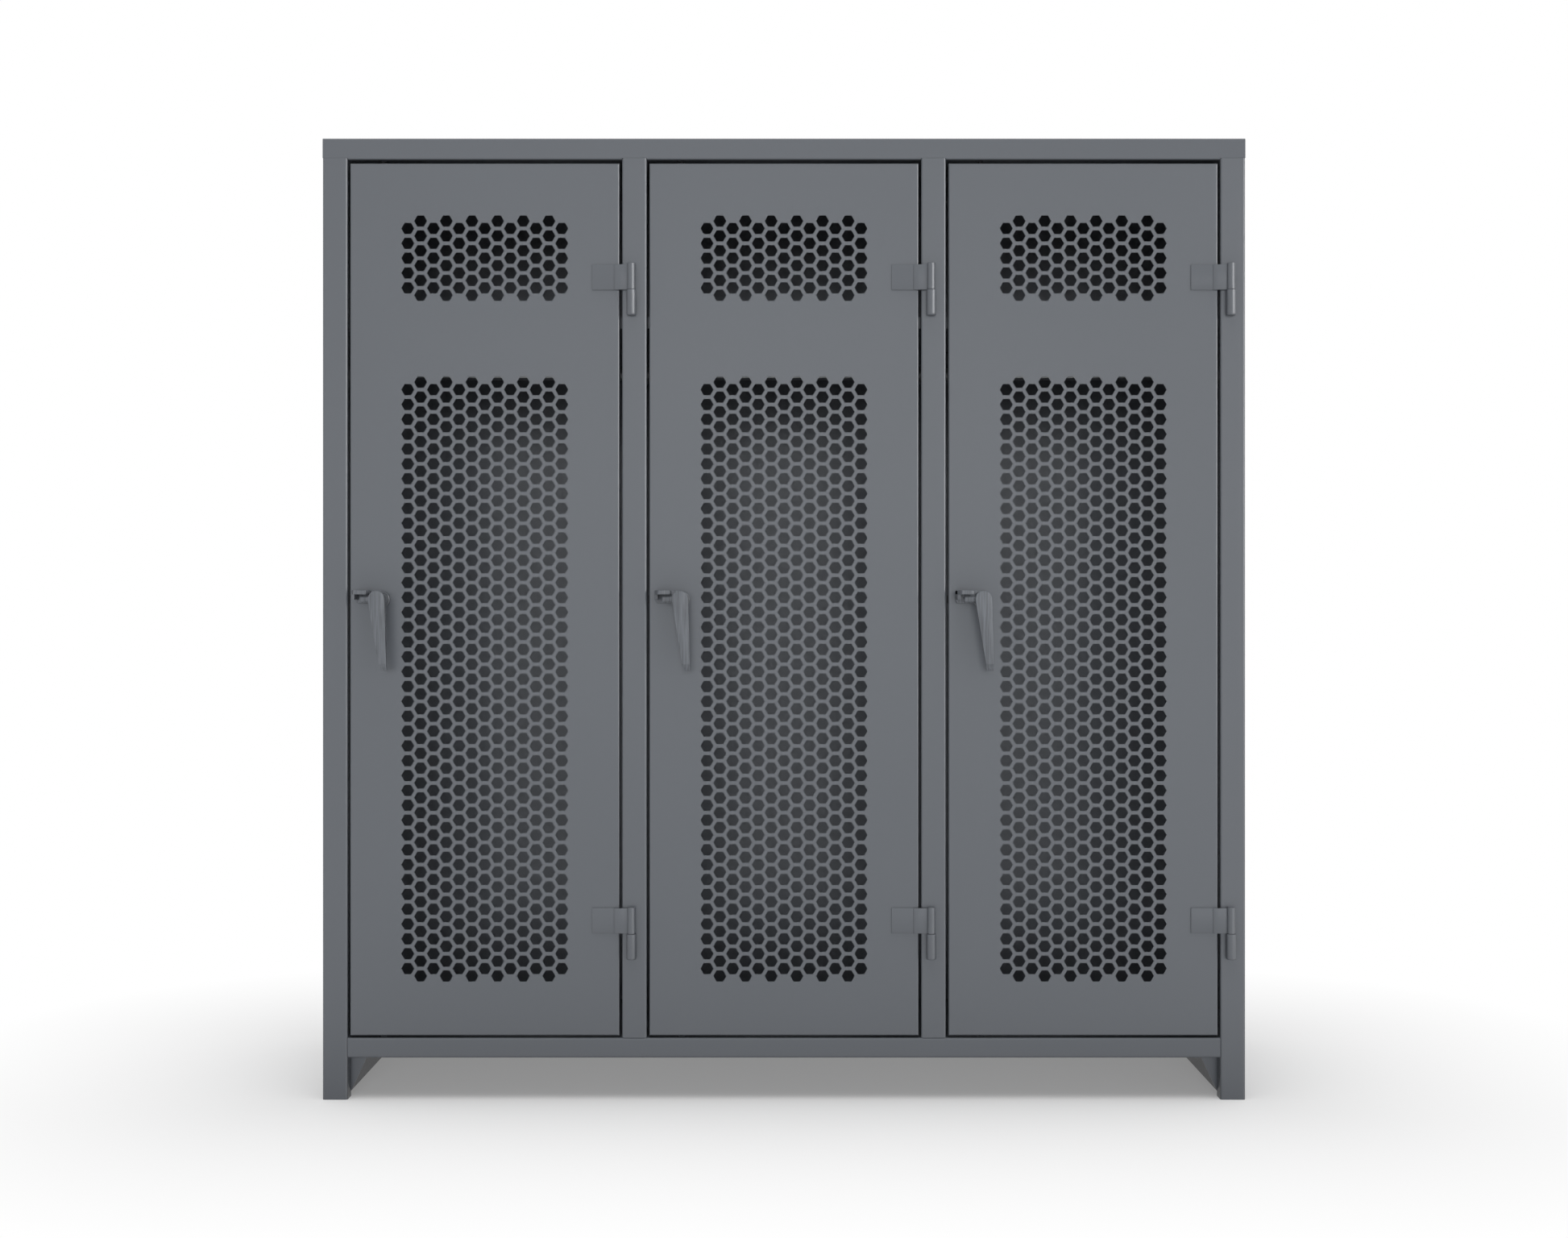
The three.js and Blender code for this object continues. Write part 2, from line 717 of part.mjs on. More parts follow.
function makeDoorPanel() {
  const filled = rounded([
    [0, 0, BEND_RADIUS],
    [doorWidth, 0, BEND_RADIUS],
    [doorWidth, DOOR_RETURN],
    [0, DOOR_RETURN],
  ]);
  const hollow = rounded([
    [SHEET, SHEET, foldInside],
    [doorWidth - SHEET, SHEET, foldInside],
    [doorWidth - SHEET, DOOR_RETURN + OVERRUN],
    [SHEET, DOOR_RETURN + OVERRUN],
  ]);
  const pan = cut(alongZ(filled, 0, doorHeight), alongZ(hollow, SHEET, doorHeight - SHEET));
  const guides = [-GUIDE_OFFSET, GUIDE_OFFSET].map((offset) =>
    block(
      [SPINDLE_INSET - GUIDE_WIDTH / 2, SHEET / 2, spindleZ + offset - GUIDE_LENGTH / 2],
      [
        SPINDLE_INSET + GUIDE_WIDTH / 2,
        rodY + ROD_RADIUS + GUIDE_WALL,
        spindleZ + offset + GUIDE_LENGTH / 2,
      ],
    ),
  );
  const rodPath = (z0, z1) =>
    uprightBar(SPINDLE_INSET, rodY, z0, z1, ROD_RADIUS + ROD_PLAY, ROD_SIDES);
  return cut(
    joined(pan, ...guides),
    alongY(doorPerforation(), -OVERRUN, SHEET + OVERRUN),
    levelBar(SPINDLE_INSET, spindleZ, -OVERRUN, camFront, SPINDLE_RADIUS + TURNING_PLAY, TURNED_SIDES),
    tongueSlot(),
    rodPath(-OVERRUN, spindleZ - STUD_ORBIT),
    rodPath(spindleZ + STUD_ORBIT, doorHeight + OVERRUN),
  );
}

// Lever, hasp, cam and rods, drawn in the door's own frame

// The arm is its front outline and its side profile cut into each other.
function makeLeverArm() {
  const hub = new THREE.Vector2(0, 0);
  const tipLeft = LEVER_TIP_OFFSET - LEVER_TIP_WIDTH / 2;
  const taper = Math.atan2(tipLeft + HUB_RADIUS, LEVER_LENGTH);
  const reduced = HUB_RADIUS - LEVER_CHAMFER;
  const front = [
    ...arc(hub, reduced, 0, Math.PI + taper, LEVER_ARC_STEPS),
    new THREE.Vector2(tipLeft + LEVER_CHAMFER, LEVER_CHAMFER - LEVER_LENGTH),
    new THREE.Vector2(tipLeft + LEVER_TIP_WIDTH - LEVER_CHAMFER, LEVER_CHAMFER - LEVER_LENGTH),
  ];
  const geometry = new THREE.ExtrudeGeometry(new THREE.Shape(front), {
    depth: LEVER_ROOT_THICKNESS - LEVER_CHAMFER * 2,
    bevelThickness: LEVER_CHAMFER,
    bevelSize: LEVER_CHAMFER,
    bevelSegments: 1,
  });
  geometry.translate(0, 0, LEVER_STANDOFF - LEVER_ROOT_THICKNESS + LEVER_CHAMFER);
  geometry.applyMatrix4(new THREE.Matrix4().makeBasis(xAxis, zAxis, yAxis.clone().negate()));
  const bevelRun = (OVERRUN * TIP_BEVEL_DEPTH) / TIP_BEVEL_LENGTH;
  const side = rounded([
    [-LEVER_STANDOFF - bevelRun, HUB_RADIUS + OVERRUN],
    [-LEVER_STANDOFF - bevelRun, TIP_BEVEL_LENGTH - LEVER_LENGTH + OVERRUN],
    [-LEVER_STANDOFF + TIP_BEVEL_DEPTH + bevelRun, -LEVER_LENGTH - OVERRUN],
    [-LEVER_STANDOFF + LEVER_TIP_THICKNESS, -LEVER_LENGTH - OVERRUN],
    [-LEVER_STANDOFF + LEVER_ROOT_THICKNESS + SEAM, -HUB_RADIUS],
    [-LEVER_STANDOFF + LEVER_ROOT_THICKNESS + SEAM, HUB_RADIUS + OVERRUN],
  ]);
  return solidOf(geometry).intersect(alongX(side, -HUB_RADIUS - OVERRUN, HUB_RADIUS + LEVER_TIP_OFFSET));
}

function makeLever() {
  const ear = rounded([
    [0, earFront],
    [0, earFront + EAR_WIDTH],
    [-EAR_REACH, earFront + EAR_WIDTH, EAR_CORNER],
    [-EAR_REACH, earFront, EAR_CORNER],
  ]);
  const halfSquare = SPINDLE_SQUARE / 2;
  const casting = joined(
    makeLeverArm(),
    levelBar(0, 0, -LEVER_STANDOFF + LEVER_ROOT_THICKNESS / 2, stemBack, STEM_RADIUS, TURNED_SIDES),
    alongZ(ear, -EAR_BOTTOM, EAR_TOP),
    levelBar(0, 0, stemBack - SEAM, camFront - SEAM, SPINDLE_RADIUS, TURNED_SIDES),
    block([-halfSquare, 0, -halfSquare], [halfSquare, camBack + SPINDLE_TAIL, halfSquare]),
  );
  const shackle = uprightBar(
    -SHACKLE_INSET,
    shackleY,
    -EAR_BOTTOM - OVERRUN,
    EAR_TOP + OVERRUN,
    SHACKLE_RADIUS,
    ROD_SIDES,
  );
  return cut(casting, shackle);
}

function makeHasp() {
  const left = -HASP_LEFT;
  const corner = HASP_CORNER_RUN - LEVER_STANDOFF;
  const ledge = rounded([
    [left, haspBack],
    [left, corner],
    [-HASP_FRONT_LEFT, -LEVER_STANDOFF],
    [-HASP_RIGHT, -LEVER_STANDOFF],
    [-HASP_RIGHT, haspBack],
  ]);
  const wall = rounded([
    [left, haspBack],
    [left, corner],
    [left + HASP_WALL, corner - HASP_WALL],
    [left + HASP_WALL, haspBack],
  ]);
  const base = rounded([
    [0, HASP_TOP],
    [left, HASP_TOP],
    [left, -BASE_DROP + BASE_CORNER],
    [left + BASE_CORNER / 2, -BASE_DROP],
    [0, -BASE_DROP],
  ]);
  const casting = joined(
    alongZ(ledge, LEDGE_UNDERSIDE, HASP_TOP),
    alongZ(wall, -HASP_WALL_DROP, HASP_TOP),
    alongY([base], haspFront, haspBack),
    levelBar(0, 0, haspFront, haspBack, BOSS_RADIUS, TURNED_SIDES),
  );
  const shackle = uprightBar(
    -SHACKLE_INSET,
    shackleY,
    LEDGE_UNDERSIDE - OVERRUN,
    HASP_TOP + OVERRUN,
    SHACKLE_RADIUS,
    ROD_SIDES,
  );
  const boreRadius = SPINDLE_RADIUS + TURNING_PLAY;
  const bore = levelBar(0, 0, haspFront - OVERRUN, OVERRUN, boreRadius, TURNED_SIDES);
  return cut(casting, shackle, bore);
}

// A slot whose middle line nears the hub evenly over a quarter turn, so that the rod's stud moves straight in.
function camSlot(startAngle) {
  const halfWide = STUD_RADIUS + STUD_PLAY;
  const fall = ROD_TRAVEL / QUARTER_TURN;
  const stations = Array.from({ length: SLOT_STEPS + 1 }, (_, step) => {
    const turned = (QUARTER_TURN * step) / SLOT_STEPS;
    const radius = STUD_ORBIT - fall * turned;
    const angle = startAngle - turned;
    return {
      middle: new THREE.Vector2(radius * Math.cos(angle), radius * Math.sin(angle)),
      facing: angle - Math.atan2(fall, radius),
    };
  });
  const wall = (side) =>
    stations.map(({ middle, facing }) => {
      const across = new THREE.Vector2(Math.cos(facing), Math.sin(facing));
      return across.multiplyScalar(side * halfWide).add(middle);
    });
  const start = stations[0];
  const end = stations[SLOT_STEPS];
  const farEnd = arc(end.middle, halfWide, end.facing, -Math.PI, SLOT_END_STEPS);
  const nearEnd = arc(start.middle, halfWide, start.facing + Math.PI, -Math.PI, SLOT_END_STEPS);
  return [...wall(1), ...farEnd.slice(1, -1), ...wall(-1).reverse(), ...nearEnd.slice(1, -1)];
}

function makeLatchCam() {
  const tongueTip = -SPINDLE_INSET - TONGUE_PROJECTION;
  const halfTongue = TONGUE_WIDTH / 2;
  const root = Math.asin(halfTongue / CAM_RADIUS);
  const hub = new THREE.Vector2(0, 0);
  const rim = arc(hub, CAM_RADIUS, Math.PI + root, (Math.PI - root) * 2, CAM_STEPS);
  const outline = [
    ...rim,
    new THREE.Vector2(tongueTip, halfTongue),
    new THREE.Vector2(tongueTip, -halfTongue),
  ];
  const halfBore = SPINDLE_SQUARE / 2 + SEAM;
  const bore = [
    new THREE.Vector2(-halfBore, -halfBore),
    new THREE.Vector2(halfBore, -halfBore),
    new THREE.Vector2(halfBore, halfBore),
    new THREE.Vector2(-halfBore, halfBore),
  ];
  const slots = [camSlot(QUARTER_TURN), camSlot(-QUARTER_TURN)];
  return alongY([outline], camFront, camBack, [bore, ...slots]);
}

// A rod runs from its stud in the cam to just short of the frame; direction is 1 for up, -1 for down.
function makeLockRod(direction, reach) {
  const inner = STUD_ORBIT - ROD_RADIUS;
  const [z0, z1] = [direction * inner, direction * reach].sort((a, b) => a - b);
  const stud = levelBar(0, direction * STUD_ORBIT, camFront - SEAM, rodY, STUD_RADIUS, ROD_SIDES);
  return joined(uprightBar(0, rodY, z0, z1, ROD_RADIUS, ROD_SIDES), stud);
}

// One bay: what the door carries, and what the frame holds for it

function doorMeshes(bayName) {
  const upperReach = doorHeight - spindleZ + TOP_GAP - TIP_SHORT_OF_FRAME;
  const lowerReach = spindleZ + BOTTOM_GAP - TIP_SHORT_OF_FRAME;
  const hardware = [
    piece(bayName + "_padlock_hasp", makeHasp(), handlePaint),
    piece(bayName + "_lever", makeLever(), handlePaint),
    piece(bayName + "_latch_cam", makeLatchCam(), blackSteel),
    piece(bayName + "_upper_lock_rod", makeLockRod(1, upperReach), blackSteel),
    piece(bayName + "_lower_lock_rod", makeLockRod(-1, lowerReach), blackSteel),
  ];
  hardware.forEach((mesh) => mesh.position.set(SPINDLE_INSET, 0, spindleZ));
  const leaves = Object.entries(hingeJointHeights).map(([place, joint]) =>
    piece(`${bayName}_${place}_hinge_leaf`, makeHingeLeaf(joint), greyPaint),
  );
  return [piece(bayName + "_door_panel", makeDoorPanel(), greyPaint), ...leaves, ...hardware];
}

function frameHingeMeshes(bayName) {
  return Object.entries(hingeJointHeights).flatMap(([place, joint]) => [
    piece(`${bayName}_${place}_hinge_barrel`, makeHingeBarrel(joint), greyPaint),
    piece(`${bayName}_${place}_hinge_pin`, makeHingePin(joint), zincSteel),
  ]);
}

const locker = new THREE.Group();
locker.add(...frameMeshes());
BAY_NAMES.forEach((bayName, bay) => {
  locker.add(piece(bayName + "_hat_shelf", makeHatShelf(bay), greyPaint));
  locker.add(piece(bayName + "_coat_rod", makeCoatRod(bay), zincSteel));
  const doorway = new THREE.Group();
  doorway.position.set(doorLefts[bay], 0, doorBottom);
  doorway.add(...doorMeshes(bayName), ...frameHingeMeshes(bayName));
  locker.add(doorway);
});

// The levers stand out in front, so the middle of the part is in front of the cabinet's own middle.
locker.position.y = (LEVER_STANDOFF - DEPTH) / 2;

export default locker;
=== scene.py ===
"""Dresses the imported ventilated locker: perforated doors, levers, hinges, painted sheet and the studio.

Everything is in metres in the row frame: +X to the right as seen from the front, +Y towards the back, +Z up,
with the floor at z = 0. The CAD bodies are the frame; the pieces made here ride on them.
"""

from __future__ import annotations

import json
import logging
import math
from collections.abc import Callable
from dataclasses import dataclass, field
from enum import Enum

import bmesh
import bpy
from mathutils import Matrix, Vector

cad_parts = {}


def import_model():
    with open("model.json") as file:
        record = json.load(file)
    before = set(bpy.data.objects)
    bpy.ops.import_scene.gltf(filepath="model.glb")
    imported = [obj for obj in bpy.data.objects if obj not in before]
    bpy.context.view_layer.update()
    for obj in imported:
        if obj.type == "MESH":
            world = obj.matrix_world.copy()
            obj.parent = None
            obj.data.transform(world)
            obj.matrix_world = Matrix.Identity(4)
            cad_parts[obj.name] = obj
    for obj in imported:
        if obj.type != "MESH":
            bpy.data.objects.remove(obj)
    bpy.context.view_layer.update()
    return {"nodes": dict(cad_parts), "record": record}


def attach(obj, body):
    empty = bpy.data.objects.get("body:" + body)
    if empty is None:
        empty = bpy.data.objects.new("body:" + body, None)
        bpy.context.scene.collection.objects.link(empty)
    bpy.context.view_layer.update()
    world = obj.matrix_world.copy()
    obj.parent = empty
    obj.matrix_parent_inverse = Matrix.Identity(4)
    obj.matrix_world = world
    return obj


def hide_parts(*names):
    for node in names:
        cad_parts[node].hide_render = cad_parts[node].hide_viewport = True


LOG = logging.getLogger("locker")
Point = tuple[float, float]
Triple = tuple[float, float, float]
Mesh = bmesh.types.BMesh
Thing = bpy.types.Object

FACE_Y = -0.27305
ORIGIN = (0.0, 0.0, 0.0)
FRONT = (0.0, FACE_Y, 0.0)
HALF_WIDTH = 0.9144
DEPTH = 0.6096
HEIGHT = 1.905
SHEET = 0.00266
SEAM = 0.0003
ROD_DEPTH = 0.01596
SPINDLE_INSET = 0.0637
BAYS = ("left", "middle", "right")
DOOR_LEFTS = (-0.860, -0.266967, 0.326067)
HINGE_HEIGHTS = {"upper": 1.6038, "lower": 0.3303}
INNER_SHEETS = ("back_panel", "side_panel", "divider", "hat_shelf")
WHITE = (1.0, 1.0, 1.0, 1.0)


class Slot(Enum):
    """The record's material slots."""

    GREY_PAINT = "grey_paint"
    HANDLE_PAINT = "handle_paint"
    ZINC_STEEL = "zinc_steel"
    BLACK_STEEL = "black_steel"


# Node trees


class NodeBench:
    """Adds nodes to one tree, of a material or of geometry, and joins their sockets."""

    def __init__(self, tree: bpy.types.NodeTree) -> None:
        """Keeps the tree that the nodes go into."""
        self.tree = tree

    def node(self, kind: str, inputs: dict | None = None, **settings: object) -> bpy.types.Node:
        """Adds a node.

        Args:
            kind: The node's class name.
            inputs: Values or signals for its input sockets, by name or number.
            **settings: The node's own properties.

        Returns:
            The new node.
        """
        node = self.tree.nodes.new(kind)
        for name, value in settings.items():
            setattr(node, name, value)
        for key, value in (inputs or {}).items():
            self.feed(node.inputs[key], value)
        return node

    def out(self, kind: str, inputs: dict | None = None, output: int | str = 0, **settings: object) -> Signal:
        """Adds a node and returns one of its outputs as a signal."""
        return Signal(self, self.node(kind, inputs, **settings).outputs[output])

    def feed(self, socket: bpy.types.NodeSocket, value: object) -> None:
        """Sets an input socket, or links it where the value is a signal.

        Args:
            socket: The input socket.
            value: A number, tuple or signal.
        """
        if isinstance(value, Signal):
            self.tree.links.new(value.socket, socket)
        else:
            socket.default_value = value

    def vectors(self, operation: str, first: Signal, second: object) -> Signal:
        """Adds a Vector Math node of two vectors."""
        return self.out("ShaderNodeVectorMath", {0: first, 1: second}, operation=operation)

    def noise(self, place: Signal, scale: float, detail: float, roughness: float = 0.5) -> Signal:
        """Adds a noise texture and returns its value."""
        inputs = {"Vector": place, "Scale": scale, "Detail": detail, "Roughness": roughness}
        return self.out("ShaderNodeTexNoise", inputs)

    def bump(self, height: Signal, strength: float, distance: float, **under: Signal) -> Signal:
        """Adds a Bump node, on top of the normal given as Normal, and returns the new normal."""
        inputs = {"Height": height, "Strength": strength, "Distance": distance} | under
        return self.out("ShaderNodeBump", inputs, output="Normal")


class Signal:
    """An output socket with arithmetic, each operation a Math node in the same tree."""

    def __init__(self, bench: NodeBench, socket: bpy.types.NodeSocket) -> None:
        """Wraps an output socket of the bench's tree."""
        self.bench = bench
        self.socket = socket

    def math(self, operation: str, *others: object, clamp: bool = False) -> Signal:
        """Adds a Math node with this signal as its first input."""
        inputs = {0: self} | {index + 1: other for index, other in enumerate(others)}
        return self.bench.out("ShaderNodeMath", inputs, operation=operation, use_clamp=clamp)

    def _reflected(self, operation: str, other: float) -> Signal:
        """Adds a Math node with this signal as its second input."""
        return self.bench.out("ShaderNodeMath", {0: other, 1: self}, operation=operation)

    def __add__(self, other: object) -> Signal:
        """The sum."""
        return self.math("ADD", other)

    def __radd__(self, other: float) -> Signal:
        """The sum."""
        return self._reflected("ADD", other)

    def __sub__(self, other: object) -> Signal:
        """The difference."""
        return self.math("SUBTRACT", other)

    def __rsub__(self, other: float) -> Signal:
        """The difference, this signal taken away."""
        return self._reflected("SUBTRACT", other)

    def __mul__(self, other: object) -> Signal:
        """The product."""
        return self.math("MULTIPLY", other)

    def __rmul__(self, other: float) -> Signal:
        """The product."""
        return self._reflected("MULTIPLY", other)

    def __truediv__(self, other: object) -> Signal:
        """The quotient."""
        return self.math("DIVIDE", other)

    def clamped(self) -> Signal:
        """This signal kept between 0 and 1."""
        return self.math("ADD", 0.0, clamp=True)


# Finishes


def new_material(name: str) -> tuple[bpy.types.Material, NodeBench]:
    """Makes an empty node material.

    Args:
        name: The material's name.

    Returns:
        The material and the bench of its tree.
    """
    material = bpy.data.materials.new(name)
    material.use_nodes = True
    material.node_tree.nodes.clear()
    return material, NodeBench(material.node_tree)


@dataclass(frozen=True)
class Finish:
    """What every finish has: a name, a slot, a colour in linear channels and a mean roughness."""

    name: str
    slot: Slot
    colour: Triple
    roughness: float

    def inputs(self, bench: NodeBench, place: Signal) -> dict[str, object]:
        """The Principled shader's inputs by name, from the place on the piece."""
        raise NotImplementedError

    def tinted(self, bench: NodeBench, share: Signal) -> Signal:
        """The colour with each channel multiplied by a share near 1."""
        channels = {axis: share * value for axis, value in zip(("Red", "Green", "Blue"), self.colour)}
        return bench.out("ShaderNodeCombineColor", channels)

    def material(self) -> bpy.types.Material:
        """Builds the node material.

        Returns:
            The finished material.
        """
        material, bench = new_material(self.name)
        place = bench.out("ShaderNodeTexCoord", output="Object")
        surface = bench.out("ShaderNodeBsdfPrincipled", self.inputs(bench, place), output="BSDF")
        bench.node("ShaderNodeOutputMaterial", {"Surface": surface})
        return material


@dataclass(frozen=True)
class PowderCoat(Finish):
    """Semi-gloss powder coat on steel: faint orange peel, slight mottling and a soft gloss that varies."""

    gloss_spread: float = 0.06
    specular: float = 0.4
    broad_scale: float = 2.3
    broad_roughness: float = 0.55
    broad_part: float = 0.7
    fine_scale: float = 95.0
    fine_part: float = 0.3
    mottle: float = 0.05
    peel_scale: float = 420.0
    peel_strength: float = 0.05
    peel_depth: float = 0.0006
    grain_scale: float = 0.0
    grain_strength: float = 0.0
    grain_depth: float = 0.0008
    streaks: float = 0.0
    streak_scale: float = 340.0
    streak_stretch: Triple = (1.0, 0.3, 0.045)

    def inputs(self, bench: NodeBench, place: Signal) -> dict[str, object]:
        """Builds what goes into the Principled shader.

        Args:
            bench: The bench of the material's tree.
            place: The place on the piece.

        Returns:
            The shader's inputs by name.
        """
        broad = bench.noise(place, self.broad_scale, 4.0, self.broad_roughness)
        fine = bench.noise(place, self.fine_scale, 3.0)
        share = 1.0 - self.mottle / 2 + (broad * self.broad_part + fine * self.fine_part) * self.mottle
        if self.streaks > 0.0:
            along = bench.vectors("MULTIPLY", place, self.streak_stretch)
            share = share + (bench.noise(along, self.streak_scale, 3.0) - 0.5) * self.streaks
        normal = bench.bump(bench.noise(place, self.peel_scale, 1.0), self.peel_strength, self.peel_depth)
        if self.grain_strength > 0.0:
            grain = bench.noise(place, self.grain_scale, 4.0)
            normal = bench.bump(grain, self.grain_strength, self.grain_depth, Normal=normal)
        cloud = broad * 0.5 + fine * 0.5
        return {
            "Base Color": self.tinted(bench, share),
            "Roughness": self.roughness - self.gloss_spread / 2 + cloud * self.gloss_spread,
            "Normal": normal,
            "Specular IOR Level": self.specular,
        }


@dataclass(frozen=True)
class DrawnSteel(Finish):
    """Plated or blackened drawn bar: drawn lines along the bar and a slightly uneven gloss."""

    gloss_spread: float = 0.16
    cloud_scale: float = 26.0
    cloud_spread: float = 0.28
    draw_scale: float = 900.0
    draw_stretch: Triple = (1.0, 1.0, 0.03)
    draw_strength: float = 0.08
    draw_depth: float = 0.0004

    def inputs(self, bench: NodeBench, place: Signal) -> dict[str, object]:
        """Builds what goes into the Principled shader.

        Args:
            bench: The bench of the material's tree.
            place: The place on the piece.

        Returns:
            The shader's inputs by name.
        """
        cloud = bench.noise(place, self.cloud_scale, 5.0)
        drawn = bench.noise(bench.vectors("MULTIPLY", place, self.draw_stretch), self.draw_scale, 2.0)
        return {
            "Base Color": self.tinted(bench, 1.0 - self.cloud_spread / 2 + cloud * self.cloud_spread),
            "Roughness": self.roughness + (cloud - 0.5) * self.gloss_spread,
            "Metallic": 1.0,
            "Normal": bench.bump(drawn, self.draw_strength, self.draw_depth),
        }


FINISHES = (
    PowderCoat("grey powder coat", Slot.GREY_PAINT, (0.113, 0.122, 0.137), 0.24),
    PowderCoat(
        "cast handle paint",
        Slot.HANDLE_PAINT,
        (0.115, 0.124, 0.139),
        0.26,
        grain_scale=240.0,
        grain_strength=0.12,
        streaks=1.2,
    ),
    DrawnSteel("bright zinc plate", Slot.ZINC_STEEL, (0.42, 0.43, 0.44), 0.34),
    DrawnSteel("black oxide steel", Slot.BLACK_STEEL, (0.022, 0.022, 0.024), 0.5),
)


# Mesh helpers


def arc(centre: Point, radius: float, start: float, sweep: float, steps: int) -> list[Point]:
    """Points on an arc, both ends included.

    Args:
        centre: The arc's centre.
        radius: Its radius.
        start: The angle of its first point.
        sweep: How far it turns, in radians.
        steps: How many straight pieces it has.

    Returns:
        The points in order.
    """
    angles = [start + sweep * step / steps for step in range(steps + 1)]
    return [(centre[0] + radius * math.cos(a), centre[1] + radius * math.sin(a)) for a in angles]


def prism(outline: list[Point], low: float, high: float, axis: str, origin: Triple = ORIGIN) -> Mesh:
    """Extrudes an outline along an axis of the row frame.

    Args:
        outline: Points in (y, z) for axis "X", in (x, z) for axis "Y" and in (x, y) for axis "Z".
        low: Where it starts on the axis.
        high: Where it ends.
        axis: "X", "Y" or "Z".
        origin: The point that all of this is counted from.

    Returns:
        A closed mesh.
    """

    def place(u: float, v: float, along: float) -> Vector:
        """A point of the outline in three dimensions."""
        spot = {"X": (along, u, v), "Y": (u, along, v), "Z": (u, v, along)}[axis]
        return Vector([start + step for start, step in zip(origin, spot)])

    shape = bmesh.new()
    rings = [[shape.verts.new(place(*point, along)) for point in outline] for along in (low, high)]
    shape.faces.new(rings[0])
    shape.faces.new(list(reversed(rings[1])))
    count = len(outline)
    for index in range(count):
        ahead = (index + 1) % count
        shape.faces.new((rings[0][index], rings[1][index], rings[1][ahead], rings[0][ahead]))
    bmesh.ops.recalc_face_normals(shape, faces=shape.faces)
    return shape


def turned(profile: list[Point], centre: Triple, axis: str, sides: int = 48) -> Mesh:
    """Turns a profile round an axis.

    Args:
        profile: Points (radius, along), from one end on the axis to the other.
        centre: The point that the axis passes through. "Along" is counted from it, upwards or forwards.
        axis: "Y" or "Z".
        sides: How many sides a turn has.

    Returns:
        A closed mesh.
    """
    shape = bmesh.new()
    verts = [shape.verts.new((radius, 0.0, along)) for radius, along in profile]
    edges = [shape.edges.new(pair) for pair in zip(verts, verts[1:])]
    bmesh.ops.spin(
        shape,
        geom=verts + edges,
        cent=ORIGIN,
        axis=(0.0, 0.0, 1.0),
        angle=math.tau,
        steps=sides,
        use_merge=True,
    )
    bmesh.ops.remove_doubles(shape, verts=shape.verts, dist=1e-6)
    if axis == "Y":
        shape.transform(Matrix.Rotation(math.radians(90.0), 4, "X"))
    shape.transform(Matrix.Translation(Vector(centre)))
    bmesh.ops.recalc_face_normals(shape, faces=shape.faces)
    return shape


def drum(radius: float, low: float, high: float, centre: Triple, axis: str, sides: int = 32) -> Mesh:
    """A cylinder between two places along its axis, counted from its centre."""
    return turned([(0.0, low), (radius, low), (radius, high), (0.0, high)], centre, axis, sides)


def cuboid(low: Triple, high: Triple, origin: Triple = ORIGIN) -> Mesh:
    """A box between its lowest and its highest corner, counted from an origin."""
    outline = [(low[0], low[1]), (high[0], low[1]), (high[0], high[1]), (low[0], high[1])]
    return prism(outline, low[2], high[2], "Z", origin)


def as_object(shape: Mesh, name: str = "part") -> Thing:
    """Turns a mesh into an object in the scene.

    Args:
        shape: The mesh; it is freed.
        name: The object's name.

    Returns:
        The object.
    """
    mesh = bpy.data.meshes.new(name)
    shape.to_mesh(mesh)
    shape.free()
    made = bpy.data.objects.new(name, mesh)
    bpy.context.scene.collection.objects.link(made)
    return made


def discard(thing: Thing) -> None:
    """Removes a working object and its mesh."""
    mesh = thing.data
    bpy.data.objects.remove(thing)
    bpy.data.meshes.remove(mesh)


def applied(thing: Thing) -> Thing:
    """Turns what an object's modifiers make into its own plain mesh.

    Args:
        thing: The object.

    Returns:
        The same object, without modifiers.
    """
    evaluated = thing.evaluated_get(bpy.context.evaluated_depsgraph_get())
    mesh = bpy.data.meshes.new_from_object(evaluated)
    spare = thing.data
    thing.modifiers.clear()
    thing.data = mesh
    bpy.data.meshes.remove(spare)
    return thing


def eased(shape: Mesh, width: float, segments: int = 3, angle: float = 40.0) -> Thing:
    """Makes a mesh an object with rounded edges.

    Args:
        shape: The mesh; it is used up.
        width: The width of the rounding.
        segments: Its steps.
        angle: The least angle in degrees that is rounded.

    Returns:
        The object.
    """
    thing = as_object(shape)
    bevel = thing.modifiers.new("eased edges", "BEVEL")
    bevel.width = width
    bevel.segments = segments
    bevel.limit_method = "ANGLE"
    bevel.angle_limit = math.radians(angle)
    bevel.use_clamp_overlap = True
    return applied(thing)


def carved(thing: Thing, *shapes: Mesh) -> Thing:
    """Cuts shapes out of an object.

    Args:
        thing: A closed object.
        *shapes: Closed meshes; they are used up.

    Returns:
        The same object.
    """
    for shape in shapes:
        tool = as_object(shape)
        cutting = thing.modifiers.new("carving", "BOOLEAN")
        cutting.operation = "DIFFERENCE"
        cutting.solver = "EXACT"
        cutting.object = tool
        applied(thing)
        discard(tool)
    return thing


def gathered(name: str, parts: list[Thing], sharp: float | None = 32.0) -> Thing:
    """Joins parts into one piece, smooth but for its sharp edges.

    Args:
        name: The piece's name.
        parts: The parts; they are used up.
        sharp: The angle in degrees from which an edge stays sharp, or None for a piece without smoothing.

    Returns:
        The piece.
    """
    whole = bmesh.new()
    for part in parts:
        whole.from_mesh(part.data)
        discard(part)
    piece = as_object(whole, name)
    piece.data.polygons.foreach_set("use_smooth", [sharp is not None] * len(piece.data.polygons))
    if sharp is not None:
        piece.data.set_sharp_from_angle(angle=math.radians(sharp))
    return piece


